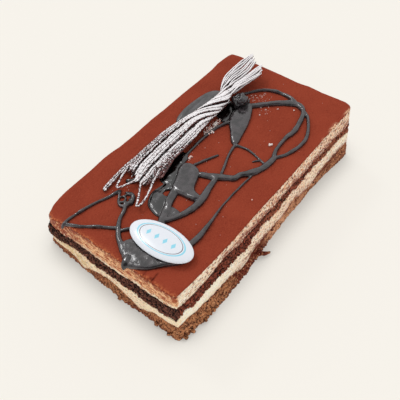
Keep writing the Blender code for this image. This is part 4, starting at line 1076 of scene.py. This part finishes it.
def skein_loop(ribbon, half):
    """A closed loop of two neighbouring strings: one leg out, a turn in the fan, and the other leg back to
    a turn at the near end. Gives its path, its dusting with painted light and shade in it (thick on top, thin
    in the grooves, thin with painted shade down the near flank, raised as painted light on the lit near side
    of the twist and lowered as painted shade on the far side of the near half) and how broken the dust is."""
    number = 2 * ribbon + half
    inner, outer = (-0.5, -1.5) if half else (0.5, 1.5)
    start = ribbon_angle(ribbon)
    far = np.interp(SLOTS[ribbon, inner] / (2 * RIBBONS) - 1, *np.array(FAR_TURNS).T)
    far = far - 4.0 * luck(number + 50)
    near_end = -46.5 - 5.0 * np.sqrt(np.clip(1 - (np.cos(start) + 0.3) ** 2, 0, 1)) + 5 * luck(number + 90)
    there, up_there, across_there = leg(ribbon, inner, np.linspace(near_end, far, 110))
    back, up_back, across_back = leg(ribbon, outer, np.linspace(far, near_end, 110))
    near_turn = 0.5 * (there[0] + back[-1]) - (1.3, 0, 0)
    far_turn = 0.5 * (there[-1] + back[0]) + (1.3, 0, 0)
    path = np.stack([near_turn, *there, far_turn, *back, near_turn])
    upward, sideways = (np.concatenate([out[:1], out, out[-1:], home, home[-1:]])
                        for out, home in ((up_there, up_back), (across_there, across_back)))
    groove = np.repeat((0.0, 1.0), (111, 112)) * (0.45 if (ribbon % 2 == 0) == (half == 0) else 1.0)
    x = path[:, 0]
    near = ramp(x, -5, -30)
    opened = ramp(x, 55, 65)
    flank = ramp(sideways, -0.6, -0.9) * ramp(x, 2, -18)
    lit = ramp(sideways, -0.4, -0.8) * ramp(x, -8, 4) * (1 - opened)
    shady = ramp(sideways, 0.35, 0.65) * ramp(x, 15, -15)
    floury = near * np.exp(-((sideways + 0.05) / 0.4) ** 2)
    # Painted light and shade in the dust: less down the near flank and on the far side, more on the lit near
    # side.
    dust = 0.4 + 0.4 * upward - groove * (0.46 - 0.3 * near) * (1 - opened) - 0.48 * flank - 0.24 * shady
    dust = dust + 0.12 * floury + 0.18 * lit + 0.3 * (luck(number + 20) - 0.5) + 0.16 * grain(path, 7, 8)
    dust[110:112] += 0.3
    return path, dust - 0.06 * near, np.interp(x, (-20, 16, 50, 65), (1.9, 0.8, 0.6, 0.4))


def add_string(path, radius, seed, dust, broken):
    """Adds a string, with its dusting, painted light and shade included, and how broken the dust is at each
    ring and at its two ends.
    """
    strings.append(string(path, radius, seed))
    for values, held_values in ((dust, dust_light_and_shade), (broken, breaking)):
        held_values.append(np.append(np.repeat(values, 9), [values[0], values[-1]]))


# Each string's slot across the fan, from 0 at its near edge: the order in which the twist leaves them.
leaving = [(np.cos(ribbon_angle(ribbon) + TWIST_TURN) + 0.02 * place, ribbon, place)
           for ribbon, place in itertools.product(range(RIBBONS), (-1.5, -0.5, 0.5, 1.5))]
SLOTS = {(ribbon, place): rank for rank, (_, ribbon, place) in enumerate(sorted(leaving))}

strings, dust_light_and_shade, breaking = [], [], []
for ribbon, half in itertools.product(range(RIBBONS), (0, 1)):
    path, dust, broken = skein_loop(ribbon, half)
    radius = np.interp(path[:, 0], (-10, 25, 50, 66), (0.54, STRING_R, STRING_R, 0.48 if half else 0.56))
    add_string(path, radius, 2 * ribbon + half, dust, broken)
for number, (loop, dust) in enumerate(zip(LOOPS, LOOP_DUST)):
    path = smooth_path(loop, 10)
    path[:, 2] += top_z(path[:, 0], path[:, 1])
    add_string(path, STRING_R + 0.2, 80 + number, np.full(len(path), dust), np.full(len(path), 1.5))

silver = Finish("dusted_strings", paint(34, 16, 15), roughness=0.42, shine=0.4)
silver.patchy(paint(108, 60, 57), 2.5, 0.35, 0.65, detail=2, rough=0.5)
facing_up = silver.node("SeparateXYZ", 2, {0: silver.node("NewGeometry", "Normal", {})})
speckle = silver.math("MULTIPLY", silver.math("SUBTRACT", silver.noise(1.0, 2, 0.6), 0.5), 2.6)
amount = silver.math("MULTIPLY_ADD", facing_up, 0.62, silver.mark("dust"))
amount = silver.math("MULTIPLY_ADD", speckle, silver.mark("broken"), amount)
silver.over(paint(252, 248, 249), silver.ease(amount, 0.82, 1.04))
silver.bump((0.7, 2, 0.12))
add_piece("chocolate_strings", joined(strings), silver, "silver_strings", "string_skein",
          dust=np.concatenate(dust_light_and_shade), broken=np.concatenate(breaking))


# ------------------------------------------------------------ sugar plaque
# An oval of white sugar paste pressed in a mould: a low dome over a rounded rim. Its own label is left off,
# and a plain pale-blue border, a fine dark line and a row of small diamonds stand in its place.

PLAQUE_AT = (-80.4, -25.4, 3.1)
PLAQUE_HALF = (12.4, 25.4)
# From the underside up: (share of the oval, height).
PLAQUE_PROFILE = (
    (0.8, 0), (0.9, 0.05), (0.965, 0.35), (1, 1), (0.995, 1.5), (0.965, 2), (0.9, 2.5), (0.8, 2.95),
    (0.65, 3.35), (0.45, 3.65), (0.22, 3.78), (0.05, 3.8),
)
BORDER = (0.74, 0.028, 0.02)  # the border's middle as a share of the oval, and where its edge ends and starts
FINE_LINE = (0.67, 0.014, 0.008)  # the same for the fine line
DIAMOND_HALF_GAP = 3.5  # half the distance from diamond to diamond

profile = smooth_path(PLAQUE_PROFILE, 4)
turn = np.linspace(0, 2 * np.pi, 120, endpoint=False)
oval = np.stack([PLAQUE_HALF[0] * np.cos(turn), PLAQUE_HALF[1] * np.sin(turn)], axis=1)
plaque = on_top(np.array(PLAQUE_AT[:2]) + profile[:, :1, None] * oval, PLAQUE_AT[2] + profile[:, 1:])

sugar = Finish("sugar_paste", paint(232, 236, 243), roughness=0.28, shine=0.5)
move = (*(-(np.array(PLAQUE_AT[:2]) + PLACE[:2]) * MM), 0)
centred = sugar.node("Mapping", 0, {"Vector": sugar.place, "Location": move})
across, along = (sugar.math("DIVIDE", sugar.node("SeparateXYZ", k, {0: centred}), PLAQUE_HALF[k] * MM)
                 for k in range(2))
radius = sugar.math("SQRT", sugar.math("ADD", sugar.math("POWER", across, 2), sugar.math("POWER", along, 2)))


def oval_line(middle, outer, inner):
    """A line along the oval: 1 within `inner` of a share of it, and 0 past `outer`."""
    return sugar.ease(sugar.math("ABSOLUTE", sugar.math("SUBTRACT", radius, middle)), outer, inner)


beads = sugar.math("PINGPONG", sugar.math("MULTIPLY", along, PLAQUE_HALF[1]), DIAMOND_HALF_GAP)
narrow = sugar.math("MULTIPLY", sugar.math("ABSOLUTE", across), 0.62 * PLAQUE_HALF[0])
from_middle = sugar.math("ADD", sugar.math("SUBTRACT", DIAMOND_HALF_GAP, beads), narrow)
diamonds = sugar.math("MULTIPLY", sugar.ease(from_middle, 1.7, 1.5), sugar.ease(radius, 0.62, 0.6))
sugar.over(paint(144, 218, 238), sugar.math("MAXIMUM", oval_line(*BORDER), diamonds))
sugar.over(paint(78, 78, 88), oval_line(*FINE_LINE))
sugar.bump((6, 2, 0.08))
sugar.shade("Coat Weight", 0.3)
sugar.shade("Coat Roughness", 0.15)
add_piece("sugar_plaque", shell(plaque), sugar, "sugar", "plaque")


# ------------------------------------------------------------ loose crumbs
# Grains of sugar and flakes of white dust that fell off the strings. They lie loose on the cocoa, most of
# them close to the bundle.

# Where grains lie: (x, y, half sizes of the patch, how many, radius of a grain).
SPILLS = (
    (30, 16.4, 12, 3, 90, 0.6), (21, 15.2, 7, 2.6, 34, 0.75), (70, 9, 8, 5, 30, 0.3), (74, 4, 6, 6, 22, 0.25),
    (-9, 9.6, 2.5, 1, 14, 0.45), (0, 0, 95, 50, 80, 0.16), (62, -6, 5, 6, 16, 0.25),
    (-40, 26, 22, 12, 60, 0.2),
)
# Single grains: (x, y, radius).
SINGLES = (
    (34.4, -30.2, 1.2), (35.8, -30.9, 0.9), (76, -23.4, 0.7), (70.5, -12.5, 0.55), (57, -5, 0.5),
    (70, -12, 0.4), (-15.6, -50.6, 0.7), (-8.6, 10, 1),
)


def grains(x, y, radius, seed):
    """Small rough balls of 26 points, one at each place, all computed as one array."""
    points, faces = shell(ball(6, 4, 1.2))
    centre = np.stack([x, y, top_z(x, y) + 0.6 * radius], axis=1)[:, None]
    rough = 1 + 0.45 * grain(points * 1.3 + 9.7 * centre, 1.0, seed)
    made = centre + points * (radius[:, None] * rough)[..., None]
    return joined([(places, faces) for places in made])


rng = np.random.default_rng(5)
spill = np.concatenate([np.column_stack([rng.normal(x, 0.5 * wide, count), rng.normal(y, 0.5 * deep, count),
                                         radius * rng.uniform(0.5, 1.5, count)])
                        for x, y, wide, deep, count, radius in SPILLS] + [np.array(SINGLES)])
spill = spill[(np.abs(spill[:, 0]) < 100) & (np.abs(spill[:, 1]) < 52)]
sugar_grain = Finish("sugar_grains", paint(253, 242, 236), roughness=0.5, shine=0.4)
sugar_grain.patchy(paint(222, 160, 142), 2.5, 0.45, 0.65, detail=2, rough=0.5)
add_piece("sugar_crumbs", grains(*spill.T, 91), sugar_grain, "sugar")


# ------------------------------------------------------------ floor, light, camera
# A plain pale light table under soft studio light from above and behind, seen from above the near corner.
# The table glows a little, and an ambient occlusion node dims the glow near the slab as a painted contact
# shadow.

FLOOR_GLOW = 0.825
FLOOR_HALF = 3.0  # metres, as are the camera's places

floor_mesh = bpy.data.meshes.new("floor")
corners = [(FLOOR_HALF * x, FLOOR_HALF * y, 0) for x, y in ((-1, -1), (1, -1), (1, 1), (-1, 1))]
floor_mesh.from_pydata(corners, [], [(0, 1, 2, 3)])
floor = bpy.data.objects.new("floor", floor_mesh)
bpy.context.scene.collection.objects.link(floor)
pale = Finish("pale_floor", (0.17, 0.164, 0.152, 1.0), roughness=1.0, shine=0.0)
pale.shade("Emission Color", paint(247, 243, 235))
# Painted contact shadow: the glow falls off where the slab hides the table.
bare = pale.node("AmbientOcclusion", "AO", {"Distance": 22 * MM})
pale.shade("Emission Strength", pale.ease(bare, 0.35, 1.0, 0.5 * FLOOR_GLOW, FLOOR_GLOW))
floor_mesh.materials.append(pale.material)

# The studio is brightest behind the slab, dimmer towards the camera, and dark round it.
world = bpy.data.worlds.new("studio")
world.use_nodes = True
studio = Nodes(world.node_tree)


def light_towards(way, start, end, low, high):
    """Light that goes smoothly from low to high while nearness to `way` goes from start to end."""
    looking = studio.node("TexCoord", "Generated", {})
    nearness = studio.node("VectorMath", "Value", {0: looking, 1: way}, operation="DOT_PRODUCT")
    return studio.ease(nearness, start, end, low, high)


sky = world.node_tree.nodes["Background"].inputs
sky["Color"].default_value = (1.0, 1.0, 1.0, 1.0)
studio.put(sky["Strength"], studio.math("MULTIPLY", light_towards((0.35, 0.55, 0.76), -0.2, 0.95, 0.86, 1.08),
                                        light_towards((-0.48, -0.4, 0.78), 0.66, 0.96, 1.0, 0.2)))
bpy.context.scene.world = world


def add_sun(name, place, strength, angle):
    """A far light of this apparent size, in radians, that shines from a direction."""
    data = bpy.data.lights.new(name, "SUN")
    data.energy = strength
    data.angle = angle
    made = bpy.data.objects.new(name, data)
    bpy.context.scene.collection.objects.link(made)
    made.rotation_euler = Vector(place).to_track_quat("Z", "Y").to_euler()
    return made


add_sun("window", (0.15, 0.75, 0.8), strength=0.5, angle=0.2)
add_sun("fill", (-0.6, -0.72, 0.34), strength=0.5, angle=0.6).visible_glossy = False

CAMERA_AT = (-0.2476, -0.1951, 0.3965)
CAMERA_RIGHT = (0.6292, -0.7772, -0.0085)
CAMERA_UP = (0.6125, 0.4891, 0.6209)
CAMERA_BACK = (-0.4784, -0.3959, 0.7838)
camera_data = bpy.data.cameras.new("camera")
camera_data.lens = 58.5
camera_data.sensor_width = 36.0
camera_data.clip_start = 0.01
camera = bpy.data.objects.new("camera", camera_data)
bpy.context.scene.collection.objects.link(camera)
facing = Matrix((CAMERA_RIGHT, CAMERA_UP, CAMERA_BACK)).transposed().to_4x4()
camera.matrix_world = Matrix.Translation(CAMERA_AT) @ facing
bpy.context.scene.camera = camera
bpy.context.scene.view_settings.view_transform = "Standard"
